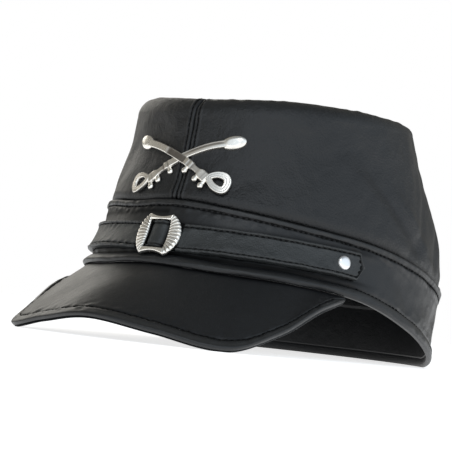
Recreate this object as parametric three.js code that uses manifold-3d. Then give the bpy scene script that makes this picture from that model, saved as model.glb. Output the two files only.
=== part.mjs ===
// Black leather kepi cap: a soft crown, a band with a buckled strap, a curved visor and a sabres badge.
// Millimetres, +Z up. It stands on the visor's two lobes and on the back of its rim, as it would by itself.
// The visor points to -Y and the wearer's left is +X. Angles run round the head in degrees: 0 is the front,
// 90 the wearer's left, 180 the back, and negative angles are the wearer's right.
import * as THREE from "three";
import { mergeVertices } from "three/addons/utils/BufferGeometryUtils.js";
import Module from "manifold-3d";

const wasm = await Module();
wasm.setup();

// Driving sizes of the head opening, the band and the crown
const rimWidth = 175;
const rimLength = 220;
const rimRise = 38; // the rim's front over the floor
const bandRise = 34; // the crown's join over the rim
const topRise = 125; // the crown's top edge over the floor
const topDome = 3; // the top's middle over its edge
const shoulderRadius = 10; // the turn from the crown's side to its top, at the front
const bandHollow = 1.9; // how far the band's middle draws in at the front
const foldDepth = 2.5; // the deepest dent of the crown

// Leather thicknesses and how the pieces meet
const crownLeather = 1.6;
const bandLeather = 2;
const strapLeather = 2;
const visorUpperLeather = 1.7;
const visorLowerLeather = 1.3;
const clearance = 0.3;
const hemDepth = 5; // crown leather tucked behind the band

// The rolled welt round the rim
const rollHeight = 5.4;
const rollDepth = 3.4;
const rollBulge = 1.4; // how far it stands proud of the band

// The visor
const visorReach = 45.5;
const visorSpan = 62; // the angle from the front to the visor's corner
const visorTuck = 1.7; // how far it runs in under the welt
const visorBulge = 0.9; // how far its upper face arches
const visorEdgeInset = 0.8; // the underside leather ends short of the upper's edge

// The strap, its rivets and the slide buckle
const strapWidth = 15.4;
const strapRise = 14.1; // the strap's middle over the rim at the buckle
const rivetAngle = 58.2;
const strapTail = 13.4; // from the rivet to the tab's tip
const strapLean = 0.29; // how far the tab's end leans along the strap, per length up it
const strapPoint = 4.5; // the tab's pointed part
const rivetHead = 7.4;
const rivetRise = 2.1; // the dome's height
const rivetFoot = 5.6; // the inner head's width
const rivetFootDepth = 1;
const rivetShank = 2.6;
const buckleWidth = 24;
const buckleHeight = 23.4;
const buckleWindow = 11;
const buckleLift = 2.2; // the frame's thickness
const buckleFluting = 0.5;
const buckleCorner = 0.26; // the corners' distance from the middle as a share of the width
const buckleDip = 0.07; // how far top and bottom curve in between the corners, as a share of the height
const buckleLean = 0.09; // how far the buckle leans along the strap, per length up it
const barWidth = 3; // the hidden bar that the strap runs over
const barLift = 1;
const barSink = 1.2; // how far the bar lies behind the frame

// The badge
const badgeWidth = 65;
const badgeHeight = 30;
const badgeLevel = 19; // its middle over the crown's join
const badgeAside = -3; // its middle off the front seam
const badgeTurn = 2; // degrees, the wearer's left side up
const badgeBlade = 4;
const badgeLift = 1.6; // each sabre's thickness
const badgeStep = 1; // how far the front sabre lies over the other
const postDiameter = 2.4;
const postFoot = 4.6; // the width of a post's inner head
const postFootDepth = 0.8;

// Outline rails from the rim to the top: widths and lengths as shares of the rim's, and the shift backwards
// as a share of the rim's length.
const rimRail = { width: 1, length: 1, shift: 0 };
const crownRails = [
  { width: 0.992, length: 0.953, shift: 0.045 },
  { width: 0.95, length: 0.888, shift: 0.037 },
  { width: 0.885, length: 0.8, shift: 0.011 },
  { width: 0.822, length: 0.722, shift: -0.024 },
];

// Heights as shares of the named rises, at equal steps from the front to the back.
const rimHeights = {
  front: 1, brow: 0.957, quarter: 0.917, temple: 0.8, side: 0.508,
  ear: 0.205, rear: 0, nape: 0, back: 0,
};
const bandHeights = {
  front: 0.96, brow: 0.926, quarter: 0.847, temple: 0.841, side: 0.946,
  ear: 1.032, rear: 1.05, nape: 1.025, back: 1,
};
const strapRises = { front: 1, brow: 1.12, quarter: 1.135, temple: 1.24, side: 1.5 }; // shares of strapRise
const topHeights = { front: 0.99, quarter: 1.01, side: 1.015, rear: 1.015, back: 0.985 };
const bandHollows = { front: 1, quarter: 1, side: 0.75, rear: 0.3, back: 0.3 }; // shares of bandHollow
const shoulderTurns = { front: 1, quarter: 1, side: 0.7, rear: 0.35, back: 0.5 }; // shares of shoulderRadius

// The visor's sections from its middle to its corner: the angle on the rim as a share of visorSpan, the reach
// as a share of visorReach, the aim in degrees off straight ahead, and the edge's lift as a share of rimRise.
const visorSections = [
  { at: 0, reach: 1, aim: 0, lift: 0.25 },
  { at: 0.289, reach: 0.955, aim: 6.7, lift: 0.14 },
  { at: 0.577, reach: 0.955, aim: 17, lift: 0.02 },
  { at: 0.75, reach: 0.67, aim: 21.5, lift: 0.27 },
  { at: 0.89, reach: 0.37, aim: 28.5, lift: 0.62 },
  { at: 1, reach: 0.05, aim: 45, lift: 0.78 },
];

// Dents (positive) and folds standing out (negative) of the crown: middle in degrees and as a share of the
// way up, size the same way, lean in degrees per crown height, and depth as a share of foldDepth.
const dents = [
  { angle: -36, up: 0.55, across: 9, tall: 0.3, lean: 10, depth: 0.8 },
  { angle: 24, up: 0.42, across: 12, tall: 0.22, lean: 0, depth: 0.35 },
  { angle: 104, up: 0.5, across: 9, tall: 0.34, lean: 34, depth: 0.6 },
  { angle: 120, up: 0.42, across: 7, tall: 0.3, lean: 30, depth: -0.5 },
  { angle: 70, up: 0.72, across: 16, tall: 0.2, lean: -20, depth: 0.45 },
  { angle: 160, up: 0.5, across: 14, tall: 0.3, lean: 0, depth: 0.6 },
  { angle: -78, up: 0.6, across: 14, tall: 0.25, lean: 20, depth: 0.6 },
  { angle: -122, up: 0.45, across: 10, tall: 0.3, lean: -30, depth: 0.8 },
];

// How finely the faces follow the curves
const ringStep = 7.5; // degrees between sections round the cap
const shoulderSteps = 3;
const flutes = 8; // on each side of the buckle
const roundSides = 16;
const knobSides = 8;
const weld = 1e-3;
const drillReach = 14; // how far a hole's cutter runs, past every wall it goes through

const leather = new THREE.MeshStandardMaterial({ color: 0x191a1b, roughness: 0.42, metalness: 0 });
const nickel = new THREE.MeshStandardMaterial({ color: 0xc9c6be, roughness: 0.2, metalness: 1 });
const chrome = new THREE.MeshStandardMaterial({ color: 0xe4e4e4, roughness: 0.1, metalness: 1 });

const radians = THREE.MathUtils.degToRad;
const clamp = THREE.MathUtils.clamp;
const lerp = THREE.MathUtils.lerp;

// Smooth curve through the values at whole places; before and after are the values past its ends.
function spline(values, place, before, after) {
  const last = values.length - 1;
  const start = clamp(Math.floor(place), 0, last - 1);
  const u = place - start;
  const a = start > 0 ? values[start - 1] : before;
  const b = values[start];
  const c = values[start + 1];
  const d = start + 2 <= last ? values[start + 2] : after;
  const square = 2 * a - 5 * b + 4 * c - d;
  const cube = 3 * b - a - 3 * c + d;
  return 0.5 * (2 * b + (c - a) * u + square * u * u + cube * u * u * u);
}

// A value round the cap from its row of heights, the same on both sides. A row's columns run from the front to
// its last angle at equal steps.
function around(row, angle, lastAngle = 180) {
  const values = Object.values(row);
  const steps = values.length - 1;
  const turned = Math.abs(((angle + 540) % 360) - 180);
  return spline(values, (turned / lastAngle) * steps, values[1], values[steps - 1]);
}

// A value up the crown from the rails, run on straight past the ends.
function upCrown(column, up) {
  const values = crownRails.map((rail) => rail[column]);
  const last = values.length - 1;
  return spline(values, up * last, 2 * values[0] - values[1], 2 * values[last] - values[last - 1]);
}

function railPoint(rail, angle, height) {
  const turn = radians(angle);
  const x = (rimWidth / 2) * rail.width * Math.sin(turn);
  const y = rimLength * rail.shift - (rimLength / 2) * rail.length * Math.cos(turn);
  return new THREE.Vector3(x, y, height);
}

// Level direction straight out of the rim at an angle.
function outDirection(angle) {
  const turn = radians(angle);
  return new THREE.Vector3(Math.sin(turn) / rimWidth, -Math.cos(turn) / rimLength, 0).normalize();
}

const rimHeight = (angle) => Math.max(0, rimRise * around(rimHeights, angle));
const joinHeight = (angle) => rimHeight(angle) + bandRise * around(bandHeights, angle);
const topHeight = (angle) => topRise * around(topHeights, angle);

// A point of the band's outer face, a length up it from the rim, moved outwards along the level.
function bandPoint(angle, up, out = 0) {
  const rim = railPoint(rimRail, angle, rimHeight(angle));
  const join = railPoint(crownRails[0], angle, joinHeight(angle));
  const share = up / rim.distanceTo(join);
  const hollow = bandHollow * around(bandHollows, angle) * 4 * share * (1 - share);
  return rim.lerp(join, share).addScaledVector(outDirection(angle), out - hollow);
}

function bandSlant(angle) {
  const join = railPoint(crownRails[0], angle, joinHeight(angle));
  return railPoint(rimRail, angle, rimHeight(angle)).distanceTo(join);
}

// How far the dents press the crown's face in.
function dentDepth(angle, up) {
  let depth = 0;
  for (const dent of dents) {
    const away = ((angle - dent.angle - dent.lean * (up - dent.up) + 540) % 360) - 180;
    const x = away / dent.across;
    const y = (up - dent.up) / dent.tall;
    depth += dent.depth * Math.exp(-x * x - y * y);
  }
  return foldDepth * depth;
}

// The crown's outer face: -1 to 0 is the hem behind the band, 0 to 1 the side, 1 to 2 the turn to the top.
const tuckedShare = 0.12; // the part of the side that comes out from behind the band
function crownPoint(angle, s) {
  if (s < 0) return bandPoint(angle, bandSlant(angle) + s * hemDepth, -(bandLeather + clearance));
  const side = Math.min(s, 1);
  const rail = {
    width: upCrown("width", side),
    length: upCrown("length", side),
    shift: upCrown("shift", side),
  };
  const radius = shoulderRadius * around(shoulderTurns, angle);
  const height = lerp(joinHeight(angle), topHeight(angle) - radius, side);
  const tucked = Math.max(0, 1 - side / tuckedShare);
  const turn = radians(90) * Math.max(0, s - 1);
  const inwards =
    (bandLeather + clearance) * tucked * tucked +
    dentDepth(angle, side) * Math.min(1, side / tuckedShare) +
    radius * (1 - Math.cos(turn));
  const point = railPoint(rail, angle, height).addScaledVector(outDirection(angle), -inwards);
  point.z += radius * Math.sin(turn);
  return point;
}

// The direction straight out of a face whose first value runs round the cap and whose second runs up it.
function faceNormal(face, angle, s, low, high) {
  const turn = 0.5;
  const step = 0.01 * (high - low);
  const along = face(angle + turn, s).sub(face(angle - turn, s));
  const up = face(angle, Math.min(s + step, high)).sub(face(angle, Math.max(s - step, low)));
  return along.cross(up).normalize();
}

// A closed mesh from points and triangles: points that coincide become one, and closed-up triangles go.
function closedGeometry(points, triangles) {
  const loose = new THREE.BufferGeometry().setFromPoints(points).setIndex(triangles);
  const merged = mergeVertices(loose, weld);
  const kept = [];
  for (let i = 0; i < merged.index.count; i += 3) {
    const [a, b, c] = [0, 1, 2].map((k) => merged.index.getX(i + k));
    if (a !== b && b !== c && c !== a) kept.push(a, b, c);
  }
  return merged.setIndex(kept);
}

// A solid through sections, each with a front row and a back row of points from bottom to top. A ring closes
// on its first section, and any other run gets end faces.
function throughSections(sections, ring) {
  const rows = sections[0].front.length;
  const points = sections.flatMap((section) => [...section.front, ...section.back]);
  const front = (i, j) => (i % sections.length) * 2 * rows + j;
  const back = (i, j) => front(i, j) + rows;
  const triangles = [];
  const quad = (a, b, c, d) => triangles.push(a, b, c, a, c, d);
  const steps = ring ? sections.length : sections.length - 1;
  for (let i = 0; i < steps; i++) {
    for (let j = 0; j < rows - 1; j++) {
      quad(front(i, j), front(i + 1, j), front(i + 1, j + 1), front(i, j + 1));
      quad(back(i, j + 1), back(i + 1, j + 1), back(i + 1, j), back(i, j));
    }
    quad(back(i, 0), back(i + 1, 0), front(i + 1, 0), front(i, 0));
    quad(front(i, rows - 1), front(i + 1, rows - 1), back(i + 1, rows - 1), back(i, rows - 1));
  }
  for (let j = 0; !ring && j < rows - 1; j++) {
    quad(front(0, j), front(0, j + 1), back(0, j + 1), back(0, j));
    quad(back(steps, j), back(steps, j + 1), front(steps, j + 1), front(steps, j));
  }
  return closedGeometry(points, triangles);
}

// Leather of even thickness behind a face, at the given angles and places up it.
function leatherWall(face, angles, places, thickness, ring = false) {
  const [low, high] = [places[0], places[places.length - 1]];
  const sections = angles.map((angle) => {
    const front = places.map((s) => face(angle, s));
    const back = front.map((point, j) =>
      point.clone().addScaledVector(faceNormal(face, angle, places[j], low, high), -thickness),
    );
    return { front, back };
  });
  return throughSections(sections, ring);
}

function steps(from, to, count) {
  return Array.from({ length: count + 1 }, (_, i) => lerp(from, to, i / count));
}

const ringAngles = steps(-180, 180, 360 / ringStep).slice(1);

function toSolid(geometry) {
  const bare = new THREE.BufferGeometry().setAttribute("position", geometry.getAttribute("position"));
  bare.setIndex(geometry.index);
  const merged = mergeVertices(bare, weld);
  const triVerts = new Uint32Array(merged.index.array);
  const vertProperties = merged.attributes.position.array;
  return new wasm.Manifold(new wasm.Mesh({ numProp: 3, vertProperties, triVerts }));
}

function fromSolid(solid) {
  const mesh = solid.getMesh();
  return new THREE.BufferGeometry()
    .setAttribute("position", new THREE.BufferAttribute(mesh.vertProperties, 3))
    .setIndex(new THREE.BufferAttribute(mesh.triVerts, 1));
}

function joined(parts) {
  return fromSolid(parts.map(toSolid).reduce((a, b) => a.add(b)));
}

function cut(geometry, tools) {
  return fromSolid(tools.map(toSolid).reduce((a, b) => a.subtract(b), toSolid(geometry)));
}

// Moves each point of a flat shape onto a face: x runs round the cap, y up it and z out of it.
function laidOn(geometry, place) {
  const position = geometry.getAttribute("position");
  const points = Array.from({ length: position.count }, (_, i) =>
    place(position.getX(i), position.getY(i), position.getZ(i)),
  );
  const order = geometry.index ? Array.from(geometry.index.array) : points.map((_, i) => i);
  return closedGeometry(points, order);
}

// The angle at a length round a face from the front, at one place up it.
function angleAt(face, s, length) {
  const step = 1;
  const side = Math.sign(length);
  let angle = 0;
  let run = 0;
  while (run < Math.abs(length)) {
    const next = face(angle + side * step, s).distanceTo(face(angle, s));
    const part = Math.min(1, (Math.abs(length) - run) / next);
    angle += side * step * part;
    run += next;
  }
  return angle;
}

function crownPanel(side) {
  const seam = angleAt(crownPoint, 0.5, clearance / 2);
  const angles = steps(0, 180, 180 / ringStep).map((angle) => clamp(angle, seam, 180 - seam));
  const places = [-1, -0.4, 0, 0.06, tuckedShare, 0.22, 0.36, 0.5, 0.64, 0.78, 0.9, 1];
  places.push(...steps(1, 2, shoulderSteps).slice(1));
  const ordered = side > 0 ? angles : angles.map((angle) => -angle).reverse();
  return cut(leatherWall(crownPoint, ordered, places, crownLeather), badgePosts(clearance));
}

function crownTop() {
  const topMiddle = railPoint(crownRails[crownRails.length - 1], 90, 0).setX(0);
  const places = [0, 0.3, 0.65, 1];
  const sections = ringAngles.map((angle) => {
    const edge = crownPoint(angle, 2).addScaledVector(outDirection(angle), -clearance);
    const front = places.map((q) => {
      const height = lerp(edge.z, topRise, q) + topDome * (1 - (1 - q) * (1 - q));
      return edge.clone().lerp(topMiddle, q).setZ(height);
    });
    const back = front.map((point) => point.clone().setZ(point.z - crownLeather));
    return { front, back };
  });
  return throughSections(sections, true);
}

function band() {
  const sections = ringAngles.map((angle) => {
    const low = rollHeight + clearance;
    const ups = steps(low, bandSlant(angle), 4);
    return {
      front: ups.map((up) => bandPoint(angle, up)),
      back: ups.map((up) => bandPoint(angle, up, -bandLeather)),
    };
  });
  return cut(throughSections(sections, true), [rivetHole(1), rivetHole(-1)]);
}

// The welt's section as shares of its bulge, depth and height; its underside is flat.
const rollSection = [
  { bulge: 0.15, inner: 0.86, up: 0 },
  { bulge: 0.85, inner: 0.98, up: 0.2 },
  { bulge: 1, inner: 1, up: 0.5 },
  { bulge: 0.75, inner: 0.97, up: 0.82 },
  { bulge: 0.1, inner: 0.86, up: 1 },
];
function rimRoll() {
  const inside = rollBulge - rollDepth;
  const sections = ringAngles.map((angle) => ({
    front: rollSection.map((row) => bandPoint(angle, row.up * rollHeight, row.bulge * rollBulge)),
    back: rollSection.map((row) => bandPoint(angle, row.up * rollHeight, row.inner * inside)),
  }));
  return throughSections(sections, true);
}

function visorValue(column, angle) {
  const share = Math.abs(angle) / visorSpan;
  const last = visorSections.length - 1;
  let i = 0;
  while (i < last - 1 && visorSections[i + 1].at < share) i++;
  const [a, b] = [visorSections[i], visorSections[i + 1]];
  const slope = (row) => {
    const k = visorSections.indexOf(row);
    if (k === 0) return column === "aim" ? visorSections[1].aim / visorSections[1].at : 0;
    const [p, q] = [visorSections[k - 1], visorSections[Math.min(k + 1, last)]];
    return (q[column] - p[column]) / (q.at - p.at);
  };
  const width = b.at - a.at;
  const u = (share - a.at) / width;
  const value =
    a[column] * (2 * u * u * u - 3 * u * u + 1) +
    slope(a) * width * (u * u * u - 2 * u * u + u) +
    b[column] * (3 * u * u - 2 * u * u * u) +
    slope(b) * width * (u * u * u - u * u);
  return column === "aim" ? value * Math.sign(angle) : value;
}

// The visor's upper face: 0 is its edge, 1 meets the welt's outer side and 2 ends under the welt.
function visorFace(edgeRise) {
  return (angle, s) => {
    const rim = bandPoint(angle, 0);
    rim.z -= clearance;
    const aim = radians(visorValue("aim", angle));
    const reach = visorReach * visorValue("reach", angle);
    const edge = rim.clone().add(new THREE.Vector3(reach * Math.sin(aim), -reach * Math.cos(aim), 0));
    edge.z = rimRise * visorValue("lift", angle) + edgeRise;
    if (s > 1) return rim.addScaledVector(outDirection(angle), -visorTuck * (s - 1));
    const arch = visorBulge * 4 * s * (1 - s) * visorValue("reach", angle);
    return edge.lerp(rim, s).add(new THREE.Vector3(0, 0, arch));
  };
}

const visorAngles = steps(-visorSpan, visorSpan, 20);
const visorPlaces = [0, 0.08, 0.25, 0.5, 0.75, 1, 2];

// The underside leather runs parallel to the upper one, a clearance below it.
function visorLowerFace(face) {
  return (angle, s) => {
    const depth = visorUpperLeather + clearance;
    const inset = visorEdgeInset / visorReach;
    const at = Math.max(s, inset);
    return face(angle, at).addScaledVector(faceNormal(face, angle, at, 0, 2), -depth);
  };
}

const visorUpper = (face) => leatherWall(face, visorAngles, visorPlaces, visorUpperLeather);
const visorLower = (face) => leatherWall(visorLowerFace(face), visorAngles, visorPlaces, visorLowerLeather);

// The rise of the visor's edge that brings its lowest point down to the floor that the back rim stands on.
function settledEdgeRise() {
  let rise = visorUpperLeather + visorLowerLeather;
  for (let i = 0; i < 6; i++) {
    const face = visorFace(rise);
    const extents = [visorUpper(face), visorLower(face)].map((piece) =>
      new THREE.Box3().setFromBufferAttribute(piece.attributes.position),
    );
    rise -= Math.min(...extents.map((extent) => extent.min.z));
  }
  return rise;
}

const strapLevel = (angle) => strapRise * around(strapRises, angle, 90);

// A point out of the band's face, at a length up and down from the strap's middle line.
function overBand(angle, up, out) {
  const face = (a, s) => bandPoint(a, s);
  const level = strapLevel(angle) + up;
  return bandPoint(angle, level).addScaledVector(faceNormal(face, angle, level, 0, bandSlant(angle)), out);
}

const strapOut = clearance + strapLeather;
const frameOut = strapOut + clearance;

// The strap rises over the buckle's bar inside the frame's window.
function strapHump(length) {
  const reach = buckleWindow / 2 - clearance;
  const top = barWidth / 2 + clearance;
  const share = clamp((reach - Math.abs(length)) / (reach - top), 0, 1);
  return (frameOut - barSink + barLift) * share * share * (3 - 2 * share);
}

function strap() {
  const line = (a) => overBand(a, 0, 0);
  const length = lengthTo(line, rivetAngle) + strapTail;
  const underBuckle = [...steps(0, buckleWindow / 2, 5), ...steps(buckleWindow / 2, buckleWidth, 3).slice(1)];
  const far = steps(buckleWidth, length - strapPoint, 7).slice(1);
  const half = [...underBuckle, ...far, length - strapPoint / 2, length];
  const lengths = [...half.slice(1).map((x) => -x).reverse(), ...half];
  const sections = lengths.map((x) => {
    const pointed = clamp((length - Math.abs(x)) / strapPoint, 0.08, 1);
    const lean = Math.sign(x) * strapLean * clamp(1 - (length - Math.abs(x)) / strapTail, 0, 1);
    const ups = steps(-strapWidth / 2, strapWidth / 2, 3).map((up) => up * pointed);
    const at = (up, out) => overBand(angleAt(line, 0, x - lean * up), up, clearance + strapHump(x) + out);
    return { front: ups.map((up) => at(up, strapLeather)), back: ups.map((up) => at(up, 0)) };
  });
  return cut(throughSections(sections, false), [rivetHole(1), rivetHole(-1)]);
}

// The length round a line from the front to an angle.
function lengthTo(line, angle) {
  let run = 0;
  for (let a = 0; a < angle; a++) run += line(a + 1).distanceTo(line(a));
  return run;
}

// Places a lathed or boxed shape on the strap's middle line, its Z pointing out of the band.
function standing(geometry, base, normal) {
  const up = new THREE.Vector3(0, 0, 1);
  const across = up.clone().cross(normal).normalize();
  const basis = new THREE.Matrix4().makeBasis(across, normal.clone().cross(across), normal).setPosition(base);
  return geometry.applyMatrix4(basis);
}

// A round solid on an axis along Z, from its profile of radius and height.
function turned(profile, sides = roundSides) {
  const points = profile.map(([radius, height]) => new THREE.Vector2(radius, height));
  const lathe = new THREE.LatheGeometry(points, sides).rotateX(Math.PI / 2);
  lathe.deleteAttribute("normal");
  lathe.deleteAttribute("uv");
  return closedGeometry(
    Array.from({ length: lathe.attributes.position.count }, (_, i) =>
      new THREE.Vector3().fromBufferAttribute(lathe.attributes.position, i),
    ),
    Array.from(lathe.index.array),
  );
}

function rivetPlace(side) {
  const angle = side * rivetAngle;
  const base = overBand(angle, 0, 0);
  return { base, normal: overBand(angle, 0, 1).sub(base) };
}

function rivetHole(side) {
  const radius = rivetShank / 2 + clearance;
  const { base, normal } = rivetPlace(side);
  const profile = [
    [0, -drillReach],
    [radius, -drillReach],
    [radius, drillReach],
    [0, drillReach],
  ];
  return standing(turned(profile), base, normal);
}

// The rivet's dome as shares of its radius and its rise.
const rivetDome = [
  { out: 1, up: 0 },
  { out: 0.96, up: 0.33 },
  { out: 0.72, up: 0.71 },
  { out: 0.38, up: 0.93 },
  { out: 0, up: 1 },
];
function rivet(side) {
  const shank = rivetShank / 2;
  const seat = strapOut + clearance;
  const inside = -(bandLeather + clearance);
  const profile = [
    [0, inside - rivetFootDepth],
    [rivetFoot / 2, inside - rivetFootDepth],
    [rivetFoot / 2, inside],
    [shank, inside],
    [shank, seat],
    ...rivetDome.map((row) => [(rivetHead / 2) * row.out, seat + rivetRise * row.up]),
  ];
  const { base, normal } = rivetPlace(side);
  return standing(turned(profile), base, normal);
}

// The buckle's frame as pairs of points on its window and its outline, round from the right side.
function frameStations() {
  const halfWidth = buckleWidth / 2;
  const halfHeight = buckleHeight / 2;
  const corner = buckleWidth * buckleCorner;
  const hollow = buckleHeight * buckleDip;
  const windowX = buckleWindow / 2;
  const windowY = strapWidth / 2 + clearance;
  const sideHeight = halfHeight / Math.sqrt(1 - (corner / halfWidth) ** 2);
  const cornerTurn = Math.acos(corner / halfWidth);
  const stations = [];
  const sideSteps = flutes * 2;
  const endSteps = 6;
  for (const side of [1, -1]) {
    for (let i = 0; i < sideSteps; i++) {
      const turn = lerp(-cornerTurn, cornerTurn, i / sideSteps);
      const outer = [side * halfWidth * Math.cos(turn), side * sideHeight * Math.sin(turn)];
      const inner = [side * windowX, side * lerp(-windowY, windowY, i / sideSteps)];
      stations.push({ outer, inner, ridge: i % 2 });
    }
    for (let i = 0; i < endSteps; i++) {
      const x = lerp(1, -1, i / endSteps);
      const outer = [side * corner * x, side * (halfHeight - hollow * (1 - x * x))];
      stations.push({ outer, inner: [side * windowX * x, side * windowY], ridge: 0 });
    }
  }
  return stations;
}

function buckle() {
  const line = (a) => overBand(a, 0, 0);
  const place = (x, y, out) => overBand(angleAt(line, 0, x - buckleLean * y), y, out);
  const sections = frameStations().map(({ outer, inner, ridge }) => {
    const across = (share) => lerp(inner[0], outer[0], share);
    const up = (share) => lerp(inner[1], outer[1], share);
    const at = (share, out) => place(across(share), up(share), frameOut + out);
    const crest = buckleLift + ridge * buckleFluting;
    return {
      front: [at(1, buckleLift * 0.45), at(0.75, crest * 0.9), at(0.3, crest), at(0, buckleLift * 0.55)],
      back: [at(1, 0), at(0.75, 0), at(0.3, 0), at(0, 0)],
    };
  });
  const bar = laidOn(barShape(), (y, z, x) => place(x, y, frameOut + z));
  return joined([throughSections(sections, true), bar]);
}

// The bar and its two ends that rise into the frame, drawn from the side.
function barShape() {
  const inner = strapWidth / 2 + clearance;
  const outer = inner + barLift;
  const rise = buckleLift / 4;
  const outline = [
    [-outer, rise],
    ...steps(-outer, outer, 4).map((y) => [y, -barSink]),
    [outer, rise],
    [inner, rise],
    ...steps(inner, -inner, 4).map((y) => [y, barLift - barSink]),
    [-inner, rise],
  ];
  const shape = new THREE.Shape(outline.map(([y, z]) => new THREE.Vector2(y, z)));
  const bar = new THREE.ExtrudeGeometry(shape, { depth: barWidth, bevelEnabled: false });
  return bar.translate(0, 0, -barWidth / 2);
}

// A point out of the crown's front, x and y from the badge's middle.
function overCrown(x, y, out) {
  const rise = crownPoint(0, 1).distanceTo(crownPoint(0, 0));
  const turn = radians(badgeTurn);
  const across = x * Math.cos(turn) - y * Math.sin(turn);
  const s = (badgeLevel + x * Math.sin(turn) + y * Math.cos(turn)) / rise;
  const angle = angleAt(crownPoint, s, badgeAside + across);
  return crownPoint(angle, s).addScaledVector(faceNormal(crownPoint, angle, s, 0, 1), out);
}

// A flat bar along a curve: its half widths and the heights of its face, from end to end.
function bladeAlong(curve, widths, foot, lift, count, ring = false) {
  const places = ring ? steps(0, 1, count).slice(1) : steps(0, 1, count);
  const sections = places.map((t) => {
    const point = curve.getPoint(t);
    const tangent = curve.getTangent(t);
    const half = widths(t) / 2;
    const at = (share, out) => {
      const side = half * share;
      return overCrown(point.x - tangent.y * side, point.y + tangent.x * side, out);
    };
    const edge = foot + lift * 0.45;
    return {
      front: [at(-1, edge), at(-0.5, foot + lift), at(0.5, foot + lift), at(1, edge)],
      back: [at(-1, foot), at(-0.5, foot), at(0.5, foot), at(1, foot)],
    };
  });
  return throughSections(sections, ring);
}

function knob(x, y, radius, foot, lift) {
  const profile = [
    [0, foot],
    [radius, foot],
    [radius, foot + lift * 0.5],
    [radius * 0.6, foot + lift],
    [0, foot + lift],
  ];
  return laidOn(turned(profile, knobSides), (u, v, w) => overCrown(x + u, y + v, w));
}

// One sheathed sabre, drawn with its tip up to the left, as shares of the badge's half width and half height.
const sabreLine = [
  { x: -0.82, y: 0.76 },
  { x: -0.47, y: 0.6 },
  { x: -0.12, y: 0.29 },
  { x: 0.2, y: -0.08 },
  { x: 0.53, y: -0.54 },
];
const guardLoop = [
  { x: 0.55, y: -0.5 },
  { x: 0.68, y: -0.35 },
  { x: 0.83, y: -0.4 },
  { x: 0.885, y: -0.63 },
  { x: 0.83, y: -0.9 },
  { x: 0.66, y: -0.8 },
];
const lugs = [
  { x: 0.14, y: -0.3 },
  { x: 0.345, y: -0.57 },
  { x: 0.465, y: -0.78 },
];
const postAt = 0.78; // how far along each sabre its post stands

function sabrePlace(side, row) {
  return new THREE.Vector2((side * row.x * badgeWidth) / 2, (row.y * badgeHeight) / 2);
}

function sabreCurve(side) {
  return new THREE.SplineCurve(sabreLine.map((row) => sabrePlace(side, row)));
}

// The front sabre's underside lies a step over the other's.
const sabreFoot = (side) => clearance + (side > 0 ? badgeStep : 0);

function sabre(side) {
  const foot = sabreFoot(side);
  const line = sabreCurve(side);
  const loopPoints = guardLoop.map((row) => sabrePlace(side, row)).map((p) => new THREE.Vector3(p.x, p.y, 0));
  const loop = new THREE.CatmullRomCurve3(loopPoints, true);
  const tip = sabrePlace(side, sabreLine[0]);
  const loopWidth = (t) => badgeBlade * lerp(0.6, 0.85, Math.sin(Math.PI * t) ** 2);
  const parts = [
    bladeAlong(line, () => badgeBlade, foot, badgeLift, 9),
    bladeAlong(loop, loopWidth, foot, badgeLift, 12, true),
    knob(tip.x, tip.y, badgeBlade * 0.85, foot, badgeLift * 1.2),
  ];
  for (const row of lugs) {
    const end = sabrePlace(side, row);
    const root = nearestOn(line, end);
    parts.push(bladeAlong(new THREE.LineCurve(root, end), () => badgeBlade * 0.4, foot, badgeLift * 0.8, 1));
    parts.push(knob(end.x, end.y, badgeBlade * 0.34, foot, badgeLift * 0.9));
  }
  return parts;
}

function nearestOn(line, point) {
  const spread = line.getPoints(40);
  return spread.reduce((best, p) => (p.distanceTo(point) < best.distanceTo(point) ? p : best));
}

// The badge's two riveted posts, or the holes for them, which are wider by a clearance.
function badgePosts(room = 0) {
  return [-1, 1].map((side) => {
    const { x, y } = sabreCurve(side).getPoint(postAt);
    const radius = postDiameter / 2;
    const outer = sabreFoot(side) + badgeLift / 2;
    const inner = -(crownLeather + clearance);
    const post = [
      [0, inner - postFootDepth],
      [postFoot / 2, inner - postFootDepth],
      [postFoot / 2, inner],
      [radius, inner],
      [radius, outer],
      [0, outer],
    ];
    const hole = [
      [0, -drillReach],
      [radius + room, -drillReach],
      [radius + room, drillReach],
      [0, drillReach],
    ];
    const base = overCrown(x, y, 0);
    const normal = overCrown(x, y, 1).sub(base);
    return standing(turned(room ? hole : post), base, normal);
  });
}

function badge() {
  return joined([...sabre(-1), ...sabre(1), ...badgePosts()]);
}

const cap = new THREE.Group();
function add(name, geometry, material) {
  const mesh = new THREE.Mesh(geometry, material);
  mesh.name = name;
  cap.add(mesh);
}

const visorTop = visorFace(settledEdgeRise());
add("crown_left", crownPanel(1), leather);
add("crown_right", crownPanel(-1), leather);
add("crown_top", crownTop(), leather);
add("band", band(), leather);
add("rim_roll", rimRoll(), leather);
add("visor_upper", visorUpper(visorTop), leather);
add("visor_lower", visorLower(visorTop), leather);
add("strap", strap(), leather);
add("buckle", buckle(), nickel);
add("badge", badge(), nickel);
add("rivet_left", rivet(1), chrome);
add("rivet_right", rivet(-1), chrome);

// The frame's origin is the middle of the floor under the cap.
const extent = new THREE.Box3().setFromObject(cap);
const middle = extent.getCenter(new THREE.Vector3());
cap.position.set(-middle.x, -middle.y, -extent.min.z);

export default cap;
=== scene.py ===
import math

import bpy
import numpy as np
from mathutils import Matrix, Vector


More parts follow.
